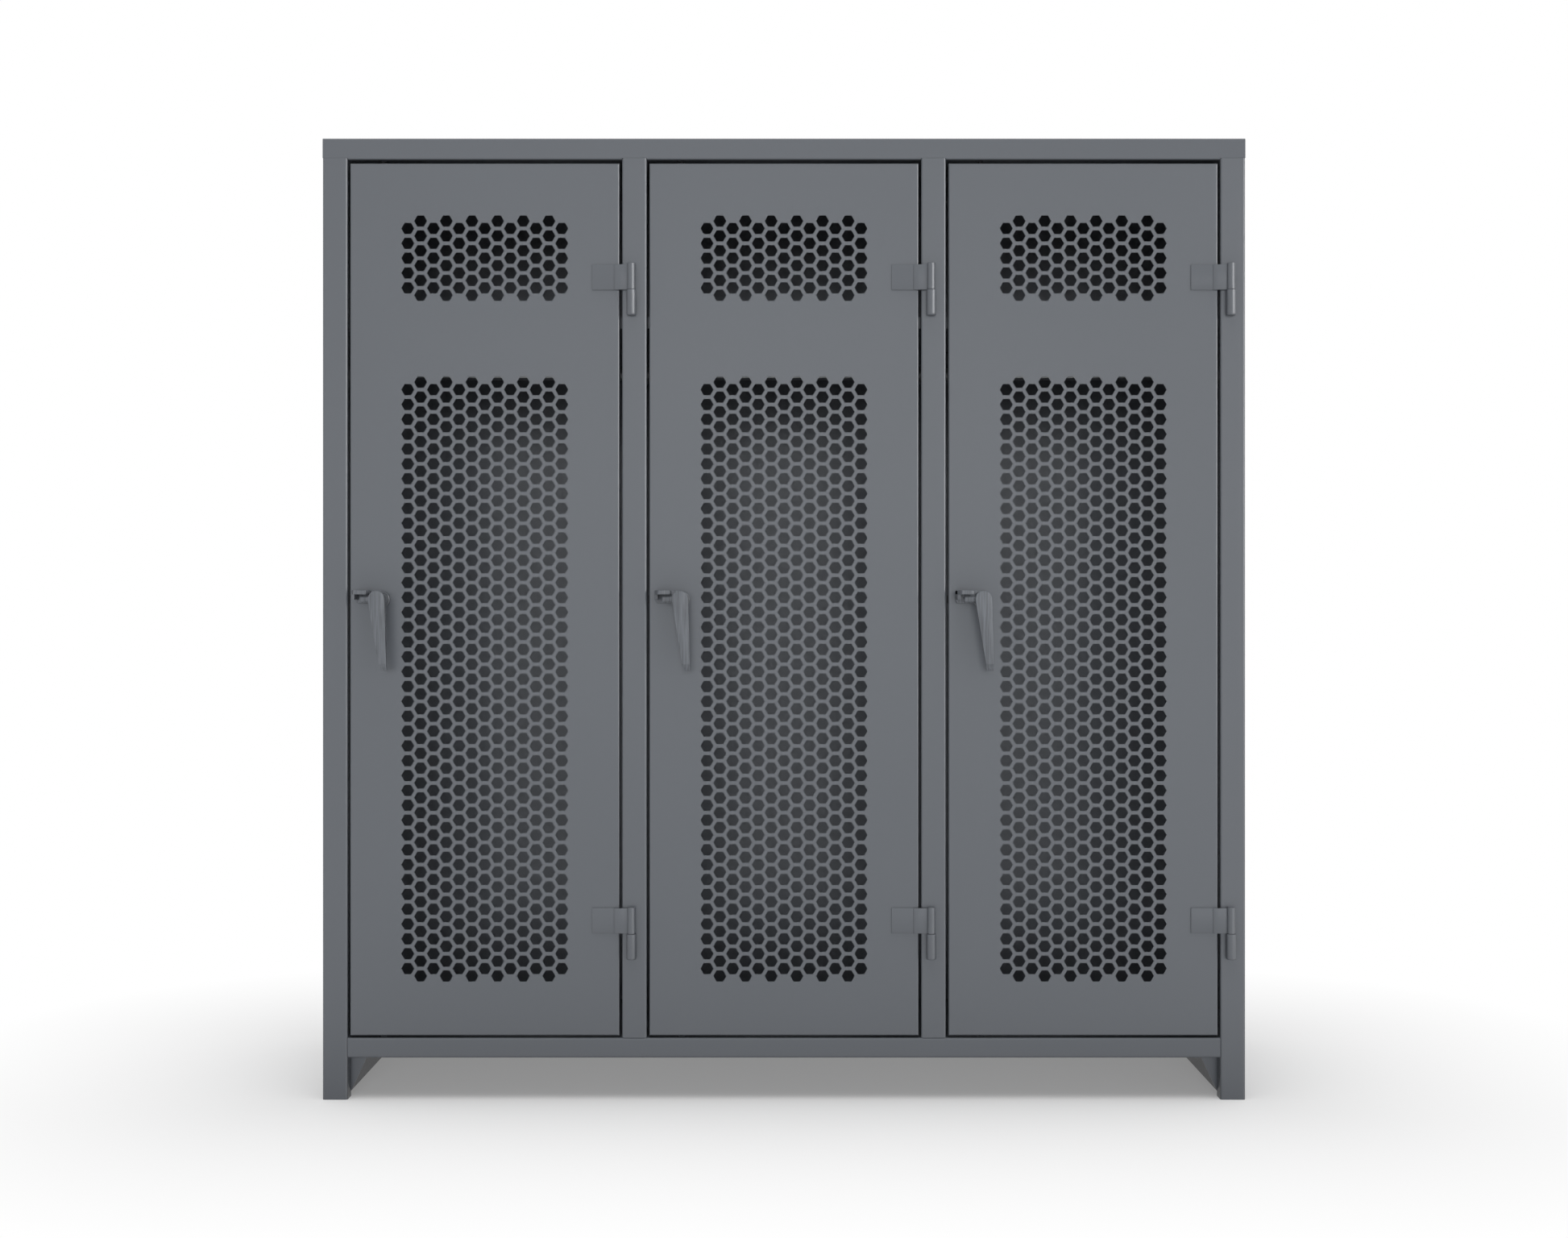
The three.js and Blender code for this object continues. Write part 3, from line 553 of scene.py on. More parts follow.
@dataclass
class Wardrobe:
    """The finishes by slot, and the one way that a piece is dressed."""

    dressed: list[Thing] = field(default_factory=list)

    def __post_init__(self) -> None:
        """Builds every finish once."""
        self.materials = {finish.slot: finish.material() for finish in FINISHES}

    def dress(self, piece: Thing, body: str, node: str, slot: Slot = Slot.GREY_PAINT) -> None:
        """Gives a new piece its finish and its body, and hides the CAD node that it stands for.

        Args:
            piece: The new piece.
            body: The CAD body that it rides on.
            node: The CAD node that it replaces.
            slot: The slot that it takes its finish from.
        """
        piece.data.materials.clear()
        piece.data.materials.append(self.materials[slot])
        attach(piece, body)
        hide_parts(node)
        self.dressed.append(piece)
        LOG.info("%s: %d faces on %s", piece.name, len(piece.data.polygons), body)


# The perforated doors


FIELD_INPUTS = {
    "Columns": "Int",
    "Column pitch": "Float",
    "Row pitch": "Float",
    "Flats": "Float",
    "Depth": "Float",
}


@dataclass(frozen=True)
class HoleField:
    """One field of staggered hexagons: its first hole's drop from the door's top, and its tallest column."""

    drop: float
    tallest: int


def open_tree(name: str, inputs: dict[str, str], output: str) -> tuple[NodeBench, Callable[[str], Signal]]:
    """Starts a geometry tree with named inputs and one geometry output.

    Args:
        name: The tree's name.
        inputs: The kind of each input, by the input's name.
        output: The output's name.

    Returns:
        The bench of the tree, and a function that gives an input by its name.
    """
    tree = bpy.data.node_groups.new(name, "GeometryNodeTree")
    for label, kind in inputs.items():
        tree.interface.new_socket(label, in_out="INPUT", socket_type=f"NodeSocket{kind}")
    tree.interface.new_socket(output, in_out="OUTPUT", socket_type="NodeSocketGeometry")
    bench = NodeBench(tree)
    given = bench.node("NodeGroupInput")

    def size(label: str) -> Signal:
        """One of the tree's inputs."""
        return Signal(bench, given.outputs[label])

    return bench, size


def lattice_group() -> bpy.types.NodeTree:
    """Builds the node group that lays out one field of hexagonal punches.

    Returns:
        The group, with named inputs for the field's sizes and one geometry output.
    """
    bench, size = open_tree("hexagon field", FIELD_INPUTS | {"Tallest": "Int", "Origin": "Vector"}, "Punches")
    index = bench.out("GeometryNodeInputIndex")
    column = (index / size("Tallest")).math("FLOOR")
    row = index - column * size("Tallest")
    short = 1.0 - column.math("MODULO", 2.0)
    across = (column - (size("Columns") - 1.0) / 2.0) * size("Column pitch")
    down = (row + short * 0.5) * size("Row pitch")
    spot = bench.out("ShaderNodeCombineXYZ", {"X": across, "Y": 0.0, "Z": down * -1.0})
    moved = bench.vectors("ADD", spot, size("Origin"))
    placed = {"Count": size("Columns") * size("Tallest"), "Position": moved}
    last = short * row.math("GREATER_THAN", size("Tallest") - 1.5)
    doomed = {"Geometry": bench.out("GeometryNodePoints", placed), "Selection": last}
    hexagon = {"Vertices": 6, "Radius": size("Flats") / math.sqrt(3.0), "Depth": size("Depth")}
    spread = {
        "Points": bench.out("GeometryNodeDeleteGeometry", doomed, domain="POINT"),
        "Instance": bench.out("GeometryNodeMeshCylinder", hexagon, output="Mesh"),
        "Rotation": (math.radians(90.0), 0.0, 0.0),
    }
    punches = bench.out("GeometryNodeInstanceOnPoints", spread)
    real = bench.out("GeometryNodeRealizeInstances", {"Geometry": punches})
    bench.node("NodeGroupOutput", {"Punches": real})
    return bench.tree


def perforation_tree(fields: tuple[HoleField, ...]) -> bpy.types.NodeTree:
    """Builds the node tree that punches every field through a door.

    Args:
        fields: The fields, from the top down.

    Returns:
        The tree, with named inputs for the sizes.
    """
    numbers = range(1, len(fields) + 1)
    inputs = {"Geometry": "Geometry"} | FIELD_INPUTS | {"Top centre": "Vector", "Paint": "Material"}
    for number in numbers:
        inputs |= {f"Tallest {number}": "Int", f"Drop {number}": "Float"}
    bench, size = open_tree("door perforation", inputs, "Geometry")
    lattice = lattice_group()
    punches = bench.node("GeometryNodeJoinGeometry")
    for number in numbers:
        lowered = bench.out("ShaderNodeCombineXYZ", {"Z": size(f"Drop {number}") * -1.0})
        origin = bench.vectors("ADD", size("Top centre"), lowered)
        given = {name: size(name) for name in FIELD_INPUTS}
        given |= {"Tallest": size(f"Tallest {number}"), "Origin": origin}
        bench.feed(punches.inputs[0], bench.out("GeometryNodeGroup", given, node_tree=lattice))
    meshes = {"Mesh 1": size("Geometry"), "Mesh 2": Signal(bench, punches.outputs[0])}
    cut = bench.out("GeometryNodeMeshBoolean", meshes, operation="DIFFERENCE", solver="MANIFOLD")
    real = bench.out("GeometryNodeRealizeInstances", {"Geometry": cut})
    painted = bench.out("GeometryNodeSetMaterial", {"Geometry": real, "Material": size("Paint")})
    bench.node("NodeGroupOutput", {"Geometry": painted})
    return bench.tree


@dataclass
class PerforatedDoor:
    """A folded door pan with two fields of staggered hexagons and the guides of its lock rods."""

    wardrobe: Wardrobe
    bay: str
    left: float
    bottom: float = 0.1271
    width: float = 0.533933
    height: float = 1.7285
    fold: float = 0.0254
    bend: float = 0.0036
    inner_bend: float = 0.0012
    flats: float = 0.0223
    column_pitch: float = 0.02543
    row_pitch: float = 0.02941
    columns: int = 13
    punch_depth: float = 0.012
    overrun: float = 0.01
    spindle_bore: float = 0.0085
    rod_bore: float = 0.00515
    tongue_slot: tuple[Triple, Triple] = ((-0.01, 0.00446, -0.03), (0.008, 0.01146, 0.0095))
    guide: tuple[Triple, Triple] = ((-0.011, 0.00226, -0.004), (0.011, 0.0241, 0.004))
    guide_offset: float = 0.45
    fields: tuple[HoleField, ...] = (HoleField(0.1147, 6), HoleField(0.4340, 41))

    def __post_init__(self) -> None:
        """Works out where the spindle is."""
        self.spindle_x = self.left + SPINDLE_INSET
        self.middle = self.bottom + self.height / 2

    def _block(self, inset: float, front: float, back: float, bend: float) -> Mesh:
        """A block of the door's outline, rounded along its front edges.

        Args:
            inset: How far its sides lie inside the door's outline.
            front: Its front face.
            back: Its back face.
            bend: The radius of its front edges.

        Returns:
            A closed mesh.
        """
        low = (self.left + inset, front, self.bottom + inset)
        high = (self.left + self.width - inset, back, self.bottom + self.height - inset)
        shape = cuboid(low, high)
        edges = [edge for edge in shape.edges if all(abs(v.co.y - front) < 1e-6 for v in edge.verts)]
        bmesh.ops.bevel(shape, geom=edges, offset=bend, segments=8, profile=0.5, affect="EDGES")
        return shape

    def _rod_bore(self, reach: float, z: float) -> Mesh:
        """The bore for the lock rods, to the same reach above and below a height."""
        return drum(self.rod_bore, -reach, reach, (self.spindle_x, FACE_Y + ROD_DEPTH, z), "Z", 24)

    def _guide(self, z: float) -> Thing:
        """One of the small blocks behind the sheet that the lock rods slide in."""
        block = eased(cuboid(*self.guide, (self.spindle_x, FACE_Y, z)), 0.0008, 2)
        return carved(block, self._rod_bore(self.overrun, z))

    def build(self, tree: bpy.types.NodeTree) -> None:
        """Builds the door and puts it in place of its CAD node.

        Args:
            tree: The perforation tree.
        """
        pan = as_object(self._block(0.0, FACE_Y, FACE_Y + self.fold, self.bend))
        inner = self._block(SHEET, FACE_Y + SHEET, FACE_Y + self.fold + self.overrun, self.inner_bend)
        slot = cuboid(*self.tongue_slot, (self.left, FACE_Y, self.middle))
        reach = 2 * self.overrun
        bore = drum(self.spindle_bore, -reach, reach, (self.spindle_x, FACE_Y, self.middle), "Y")
        carved(pan, inner, slot, bore, self._rod_bore(1.0, self.middle))
        self._punch(pan, tree)
        guides = [self._guide(self.middle + side * self.guide_offset) for side in (-1, 1)]
        door = gathered(f"{self.bay}_perforated_door", [pan, *guides], None)
        self.wardrobe.dress(door, f"{self.bay}_door", f"{self.bay}_door_panel")

    def _punch(self, pan: Thing, tree: bpy.types.NodeTree) -> None:
        """Punches the hexagons with the Geometry Nodes tree.

        Args:
            pan: The plain pan; it gets the punched mesh.
            tree: The perforation tree.
        """
        sizes = {
            "Columns": self.columns,
            "Column pitch": self.column_pitch,
            "Row pitch": self.row_pitch,
            "Flats": self.flats,
            "Depth": self.punch_depth,
            "Top centre": (self.left + self.width / 2, FACE_Y, self.bottom + self.height),
            "Paint": self.wardrobe.materials[Slot.GREY_PAINT],
        }
        for number, hole_field in enumerate(self.fields, 1):
            sizes |= {f"Tallest {number}": hole_field.tallest, f"Drop {number}": hole_field.drop}
        modifier = pan.modifiers.new("perforation", "NODES")
        modifier.node_group = tree
        for item in tree.interface.items_tree:
            if item.in_out == "INPUT" and item.name in sizes:
                modifier[item.identifier] = sizes[item.name]
        applied(pan)


# The lever handles


@dataclass
class LeverHandle:
    """A tapered lever on a round hub, its padlock ear, and the fixed hasp that the ear turns up against.

    Places are counted from the spindle's place on the door's face, so y is negative in front of the door.
    """

    wardrobe: Wardrobe
    bay: str
    x: float
    z: float = 0.99135
    standoff: float = 0.0635
    hub: float = 0.016
    length: float = 0.14
    root: float = 0.015
    tip: float = 0.011
    tip_width: float = 0.0132
    tip_offset: float = 0.0133
    tip_bevel: float = 0.013
    tip_fall: float = 0.01
    ear_reach: float = 0.0364
    ear_depths: Point = (-0.0475, -0.0245)
    ear_heights: Point = (-0.0051, 0.0045)
    ear_corner: float = 0.0032
    ear_crown: float = 0.001
    shackle: Point = (-0.028, -0.036)
    shackle_radius: float = 0.0048
    stem: float = 0.0152
    stem_end: float = 0.055
    spindle: float = 0.008
    spindle_bore: float = 0.0085
    tail: tuple[Triple, Triple] = ((-0.0055, 0.004, -0.0055), (0.0055, 0.01396, 0.0055))
    plate: float = 0.0103
    boss: float = 0.0165

    def __post_init__(self) -> None:
        """Works out the spindle's place on the door's face."""
        self.origin = (self.x, FACE_Y, self.z)

    def _shackle_bore(self) -> Mesh:
        """The bore that the shackle passes through."""
        centre = (self.x + self.shackle[0], FACE_Y + self.shackle[1], self.z)
        return drum(self.shackle_radius, -0.03, 0.03, centre, "Z")

    def _arm(self) -> Thing:
        """The arm: its front outline with a tapering thickness, a fallen tip and chamfered edges."""
        tip_left = self.tip_offset - self.tip_width / 2
        taper = math.atan2(tip_left + self.hub, self.length)
        outline = arc((0.0, 0.0), self.hub, 0.0, math.pi + taper, 28)
        outline += [(tip_left, -self.length), (tip_left + self.tip_width, -self.length)]
        shape = prism(outline, -self.standoff, self.root - self.standoff, "Y", self.origin)
        for height in (self.z - self.length + self.tip_bevel, self.z - self.hub):
            bmesh.ops.bisect_plane(
                shape,
                geom=shape.verts[:] + shape.edges[:] + shape.faces[:],
                plane_co=(0.0, 0.0, height),
                plane_no=(0.0, 0.0, 1.0),
            )
        middle = FACE_Y - self.standoff + self.root / 2
        thin = (self.root - self.tip) / (self.length - self.hub)
        for vert in shape.verts:
            down = self.z - vert.co.z
            if vert.co.y < middle:
                vert.co.y += self.tip_fall * max(0.0, down - self.length + self.tip_bevel) / self.tip_bevel
            else:
                vert.co.y -= thin * max(0.0, down - self.hub)
        return eased(shape, 0.0019, 3, 25.0)

    def _ear(self) -> Thing:
        """The flat ear that takes the shackle."""
        (front, back), corner = self.ear_depths, self.ear_corner
        left = corner - self.ear_reach
        outline = [(0.0, front), (0.0, back)]
        outline += arc((left, back - corner), corner, math.pi / 2, math.pi / 2, 6)
        outline += arc((left, front + corner), corner, math.pi, math.pi / 2, 6)
        shape = prism(outline, *self.ear_heights, "Z", self.origin)
        for vert in shape.verts:
            if vert.co.z > self.z:
                vert.co.z += self.ear_crown * max(0.0, 1.0 - abs(vert.co.x - self.x) / self.ear_reach)
        return carved(eased(shape, 0.0008, 2), self._shackle_bore())

    def build_lever(self) -> None:
        """Builds the lever with its ear and spindle."""
        stem = drum(self.stem, self.plate + SEAM, self.stem_end, self.origin, "Y", 48)
        parts = [
            self._arm(),
            self._ear(),
            eased(stem, 0.0012, 2),
            as_object(drum(self.spindle, -0.0056, 0.012, self.origin, "Y")),
            eased(cuboid(*self.tail, self.origin), 0.0006, 2),
        ]
        lever = gathered(f"{self.bay}_lever_casting", parts)
        self.wardrobe.dress(lever, f"{self.bay}_lever", f"{self.bay}_lever", Slot.HANDLE_PAINT)

    def build_hasp(self) -> None:
        """Builds the fixed hasp: ledge, wall, base and boss."""
        left, right, front_left = -0.0501, -0.0195, -0.0417
        back, corner, front = -SEAM, -0.05, -self.standoff
        thick, low, top = 0.006, -0.0076, 0.0172
        ledge = [(left, back), (left, corner), (front_left, front), (right, front), (right, back)]
        wall = [(left, back), (left, corner), (left + thick, corner - thick), (left + thick, back)]
        base = [(0.0, top), (left, top), (left, low + 0.005), (left + 0.0025, low), (0.0, low)]
        shapes = (
            prism(ledge, 0.009, top, "Z", self.origin),
            prism(wall, -0.0012, 0.0171, "Z", self.origin),
            prism(base, -self.plate, back, "Y", self.origin),
            drum(self.boss, SEAM, self.plate, self.origin, "Y", 48),
        )
        parts = [eased(shape, 0.0009) for shape in shapes]
        carved(parts[0], self._shackle_bore())
        for part in parts[2:]:
            carved(part, drum(self.spindle_bore, -0.02, 0.03, self.origin, "Y"))
        hasp = gathered(f"{self.bay}_hasp_casting", parts)
        self.wardrobe.dress(hasp, f"{self.bay}_door", f"{self.bay}_padlock_hasp", Slot.HANDLE_PAINT)


# The hinges


@dataclass
class LiftOffHinge:
    """A welded lift-off hinge: a joggled leaf with its knuckle on the door, and a barrel on the frame."""

    wardrobe: Wardrobe
    bay: str
    place: str
    axis_x: float
    joint_z: float
    axis_y: float = -0.28285
    door_edge: float = 0.02435
    knuckle: float = 0.008
    knuckle_length: float = 0.0525
    knuckle_lip: float = 0.001
    barrel: float = 0.0095
    barrel_length: float = 0.051
    barrel_lip: float = 0.0006
    nose: float = 0.0028
    foot_half: float = 0.005
    foot_rise: float = 0.003
    leaf_reach: float = 0.054
    leaf_thickness: float = 0.003
    flat_end: float = 0.011
    joggle_step: float = 0.005
    joggle_run: float = 0.018
    leaf_top_drop: float = 0.0022
    pin: float = 0.0051
    pin_up: float = 0.0363
    pin_down: float = 0.0303
    overrun: float = 0.01

    def __post_init__(self) -> None:
        """Works out the axis."""
        self.axis = (self.axis_x, self.axis_y, 0.0)

    def _bored(self, shape: Mesh, down: float, up: float) -> Thing:
        """A part with the bore for the pin, from below to above the hinge's joint."""
        bore = drum(self.pin, self.joint_z - down, self.joint_z + up, self.axis, "Z")
        return carved(as_object(shape), bore)

    def _sweep(self, low: float, run: float, steps: int = 12) -> list[Point]:
        """The curve by which one side of the leaf rises from the door: steep at first, then level.

        Args:
            low: The side's place before it rises.
            run: How wide the curve is.
            steps: The straight pieces of the curve.

        Returns:
            The points of the curve, from the door outwards.
        """
        level = self.axis_x - self.door_edge - self.flat_end + self.joggle_run
        turns = [math.pi / 2 * step / steps for step in range(steps + 1)]
        return [(level - run * math.cos(t), low - self.joggle_step * math.sin(t)) for t in turns]

    def build_leaf(self) -> None:
        """Builds the leaf and knuckle."""
        start = self.axis_x - self.door_edge - self.leaf_reach
        flush = FACE_Y - SEAM
        outer = flush - self.leaf_thickness
        outline = [(start, flush), (start, outer)]
        outline += self._sweep(outer, self.joggle_run)
        outline += [(self.axis_x, outer - self.joggle_step), (self.axis_x, flush - self.joggle_step)]
        outline += reversed(self._sweep(flush, self.joggle_run - self.leaf_thickness))
        bottom, top = self.joint_z, self.joint_z + self.knuckle_length
        leaf = eased(prism(outline, bottom, top - self.leaf_top_drop, "Z"), 0.0007, 2, 50.0)
        lip, radius = self.knuckle_lip, self.knuckle
        profile = [(0.0, bottom), (radius - lip, bottom), (radius, bottom + lip)]
        profile += [(radius, top - lip), (radius - lip, top), (0.0, top)]
        knuckle = self._bored(turned(profile, self.axis, "Z"), self.overrun, self.pin_up)
        piece = gathered(f"{self.bay}_{self.place}_hinge_plate", [leaf, knuckle])
        self.wardrobe.dress(piece, f"{self.bay}_door", f"{self.bay}_{self.place}_hinge_leaf")

    def build_barrel(self) -> None:
        """Builds the barrel on its flat foot."""
        bottom, top = self.joint_z - self.barrel_length, self.joint_z - SEAM
        lip, radius, nose = self.barrel_lip, self.barrel, self.nose
        profile = [(0.0, bottom)]
        profile += arc((radius - nose, bottom + nose), nose, -math.pi / 2, math.pi / 2, 5)
        profile += [(radius, top - lip), (radius - lip, top), (0.0, top)]
        low = (self.axis_x - self.foot_half, self.axis_y, bottom + self.foot_rise)
        high = (self.axis_x + self.foot_half, FACE_Y - SEAM, top)
        shapes = (turned(profile, self.axis, "Z"), cuboid(low, high))
        parts = [self._bored(shape, self.pin_down, self.overrun) for shape in shapes]
        piece = gathered(f"{self.bay}_{self.place}_hinge_socket", parts)
        self.wardrobe.dress(piece, "cabinet", f"{self.bay}_{self.place}_hinge_barrel")


# The folded sheet of the frame


def folded(corners: list[tuple[float, ...]], steps: int = 8) -> list[Point]:
    """The points of a folded outline.

    Args:
        corners: Corners (u, v) or (u, v, radius); one with a radius becomes an arc.
        steps: The steps of each arc.

    Returns:
        The points in order.
    """
    points: list[Point] = []
    for index, (u, v, *rest) in enumerate(corners):
        if not rest:
            points.append((u, v))
            continue
        corner, radius = Vector((u, v)), rest[0]
        back = (Vector(corners[index - 1][:2]) - corner).normalized()
        ahead = (Vector(corners[(index + 1) % len(corners)][:2]) - corner).normalized()
        half = back.angle(ahead) / 2
        centre = corner + (back + ahead).normalized() * (radius / math.sin(half))
        start = corner + back * (radius / math.tan(half)) - centre
        end = corner + ahead * (radius / math.tan(half)) - centre
        sweep = math.atan2(start.x * end.y - start.y * end.x, start.dot(end))
        points += arc(tuple(centre), radius, math.atan2(start.y, start.x), sweep, steps)
    return points


@dataclass
class FoldedFrame:
    """Posts, mullions, sill and top rail, folded from one thickness of sheet with fine bends.

    Outlines are counted from the plane of the front.
    """

    wardrobe: Wardrobe
    bend: float = 0.004
    post_face: float = 0.0493
    rear_face: float = 0.043
    mullion_face: float = 0.0489
    member: float = 0.034
    header: float = 0.0418
    sill_height: float = 0.0397
    foot_return: float = 0.02
    clearance: float = 0.0829
    mullion_lefts: Point = (-0.320967, 0.272067)
    keeper_radius: float = 0.00675
    keeper_reach: float = 0.006
    floor_top: float = 0.0887
    bead: float = 0.003
    bead_bite: float = 0.0002
    bead_lap: float = 0.00004
    overrun: float = 0.005

    def __post_init__(self) -> None:
        """Works out the bends' inner radius."""
        self.inner_bend = self.bend - SHEET

    def _channel(self, left: float, width: float) -> list[Point]:
        """The outline of a channel that opens towards the back."""
        right, inner = left + width, self.inner_bend
        corners = [
            (left, 0.0, self.bend),
            (right, 0.0, self.bend),
            (right, self.member),
            (right - SHEET, self.member),
            (right - SHEET, SHEET, inner),
            (left + SHEET, SHEET, inner),
            (left + SHEET, self.member),
            (left, self.member),
        ]
        return folded(corners)

    def _upright(self, name: str, outline: list[Point], low: float) -> None:
        """One upright of the front, up to just below the top rail."""
        top = HEIGHT - self.header + SHEET - SEAM
        piece = as_object(prism(outline, low, top, "Z", FRONT), f"{name}_sheet")
        self.wardrobe.dress(piece, "cabinet", name)

    def _rear_post(self, side: int, name: str) -> None:
        """One rear post, with the weld bead that closes its corner to the back panel.

        Args:
            side: 1 for the left post and -1 for the right one.
            name: The CAD node that it stands for.
        """
        top = HEIGHT - SHEET - SEAM
        channel = [(side * x, DEPTH - y) for x, y in self._channel(-HALF_WIDTH, self.rear_face)]
        corner, inner = self.rear_face - HALF_WIDTH, DEPTH - SHEET
        bite, lap = side * (corner - self.bead_bite), inner + self.bead_lap
        bead = [(bite, inner - self.bead), (side * (corner + self.bead), lap), (bite, lap)]
        shapes = (prism(channel, 0.0, top, "Z", FRONT), prism(bead, self.floor_top, top, "Z", FRONT))
        post = gathered(f"{name}_sheet", [as_object(shape) for shape in shapes])
        self.wardrobe.dress(post, "cabinet", name)

    def build(self) -> None:
        """Builds every folded member in place of its CAD node."""
        for side, name in ((1, "left"), (-1, "right")):
            outline = [(side * x, y) for x, y in self._channel(-HALF_WIDTH, self.post_face)]
            self._upright(f"front_{name}_post", outline, 0.0)
            self._rear_post(side, f"rear_{name}_post")
        sill_top = self.clearance + self.sill_height
        for name, left in zip(BAYS, self.mullion_lefts):
            self._upright(f"{name}_mullion", self._channel(left, self.mullion_face), sill_top + SEAM)
        self._sill(sill_top)
        self._top_rail()

    def _keepers(self, height: float) -> list[Mesh]:
        """The holes that the lock rods run into, at one height."""
        radius, reach = self.keeper_radius, self.keeper_reach
        spots = [(left + SPINDLE_INSET, ROD_DEPTH + FACE_Y, height) for left in DOOR_LEFTS]
        return [drum(radius, -reach, reach, spot, "Z", 24) for spot in spots]

    def _sill(self, top: float) -> None:
        """The bottom front rail."""
        tray, inner = self.clearance + SHEET, self.inner_bend
        corners = [
            (0.0, self.clearance, self.bend),
            (self.foot_return, self.clearance),
            (self.foot_return, tray),
            (SHEET, tray, inner),
            (SHEET, top - SHEET, inner),
            (self.member, top - SHEET),
            (self.member, top),
            (0.0, top, self.bend),
        ]
        reach = HALF_WIDTH - self.post_face - SEAM
        rail = as_object(prism(folded(corners), -reach, reach, "X", FRONT), "bottom_rail_sheet")
        self.wardrobe.dress(carved(rail, *self._keepers(top)), "cabinet", "bottom_front_rail")

    def _top_rail(self) -> None:
        """The top front rail, its lower lip notched round the uprights."""
        bend, inner = self.bend, self.inner_bend
        front, behind = -self.overrun, self.member + self.overrun
        low, roof = HEIGHT - self.header, HEIGHT - SHEET
        lip, under = low + SHEET, low - self.overrun
        filled = [(0.0, low, bend), (self.member, low), (self.member, HEIGHT), (0.0, HEIGHT, bend)]
        hollow = [(SHEET, lip, inner), (behind, lip), (behind, roof), (SHEET, roof, inner)]
        rail = as_object(prism(folded(filled), -HALF_WIDTH, HALF_WIDTH, "X", FRONT), "top_rail_sheet")
        reach = HALF_WIDTH - SHEET
        post = HALF_WIDTH - self.post_face - SEAM
        spans = [(-1.0, -post), (post, 1.0)]
        spans += [(left - SEAM, left + self.mullion_face + SEAM) for left in self.mullion_lefts]
        notches = [cuboid((x0, front, under), (x1, behind, lip), FRONT) for x0, x1 in spans]
        inside = prism(folded(hollow), -reach, reach, "X", FRONT)
        self.wardrobe.dress(carved(rail, inside, *notches, *self._keepers(low)), "cabinet", "top_front_rail")


# What stays from the CAD


@dataclass
class CabinetFrame:
    """The CAD nodes that keep their own shape: welded sheet, shelves, rods, pins, cams and lock rods."""

    wardrobe: Wardrobe
    nodes: dict[str, Thing]
    replaced: tuple[str, ...] = (
        "door_panel",
        "_lever",
        "padlock_hasp",
        "hinge_leaf",
        "hinge_barrel",
        "_post",
        "_mullion",
        "_rail",
    )

    def dress(self, slots: dict[str, str]) -> None:
        """Gives every node that stays in view the finish of its slot.

        Args:
            slots: The record's slot of each node.
        """
        kept = [name for name in self.nodes if not name.endswith(self.replaced)]
        for name in kept:
            for place in self.nodes[name].material_slots:
                place.material = self.wardrobe.materials[Slot(slots[name])]
        LOG.info("cabinet: %d CAD nodes painted", len(kept))


# The studio


class Reach(Enum):
    """Which pieces a lamp lights."""

    ALL = "all"
    FRONT = "front"
    INSIDE = "inside"


@dataclass(frozen=True)
class FarLamp:
    """A far lamp that lights evenly from a round patch of the surroundings.

    Its azimuth is counted to the right of the camera, in degrees. One that is mirrored shows only in
    reflections, and any other one only in matt light.
    """

    name: str
    azimuth: float
    elevation: float
    spread: float
    strength: float
    mirrored: bool = False
    reach: Reach = Reach.ALL
    distance: float = 8.0

    def hang(self, pieces: dict[Reach, bpy.types.Collection]) -> None:
        """Puts the lamp in the scene.

        Args:
            pieces: The pieces of each reach but the whole.
        """
        light = bpy.data.lights.new(self.name, "SUN")
        light.angle = math.radians(self.spread)
        light.energy = self.strength
        turn, rise = math.radians(self.azimuth), math.radians(self.elevation)
        level = math.cos(rise)
        away = Vector((math.sin(turn) * level, -math.cos(turn) * level, math.sin(rise)))
        lamp = bpy.data.objects.new(light.name, light)
        lamp.location = away * self.distance
        lamp.rotation_euler = away.to_track_quat("Z", "Y").to_euler()
        lamp.visible_diffuse = not self.mirrored
        lamp.visible_glossy = self.mirrored
        if self.reach in pieces:
            lamp.light_linking.receiver_collection = pieces[self.reach]
        bpy.context.scene.collection.objects.link(lamp)


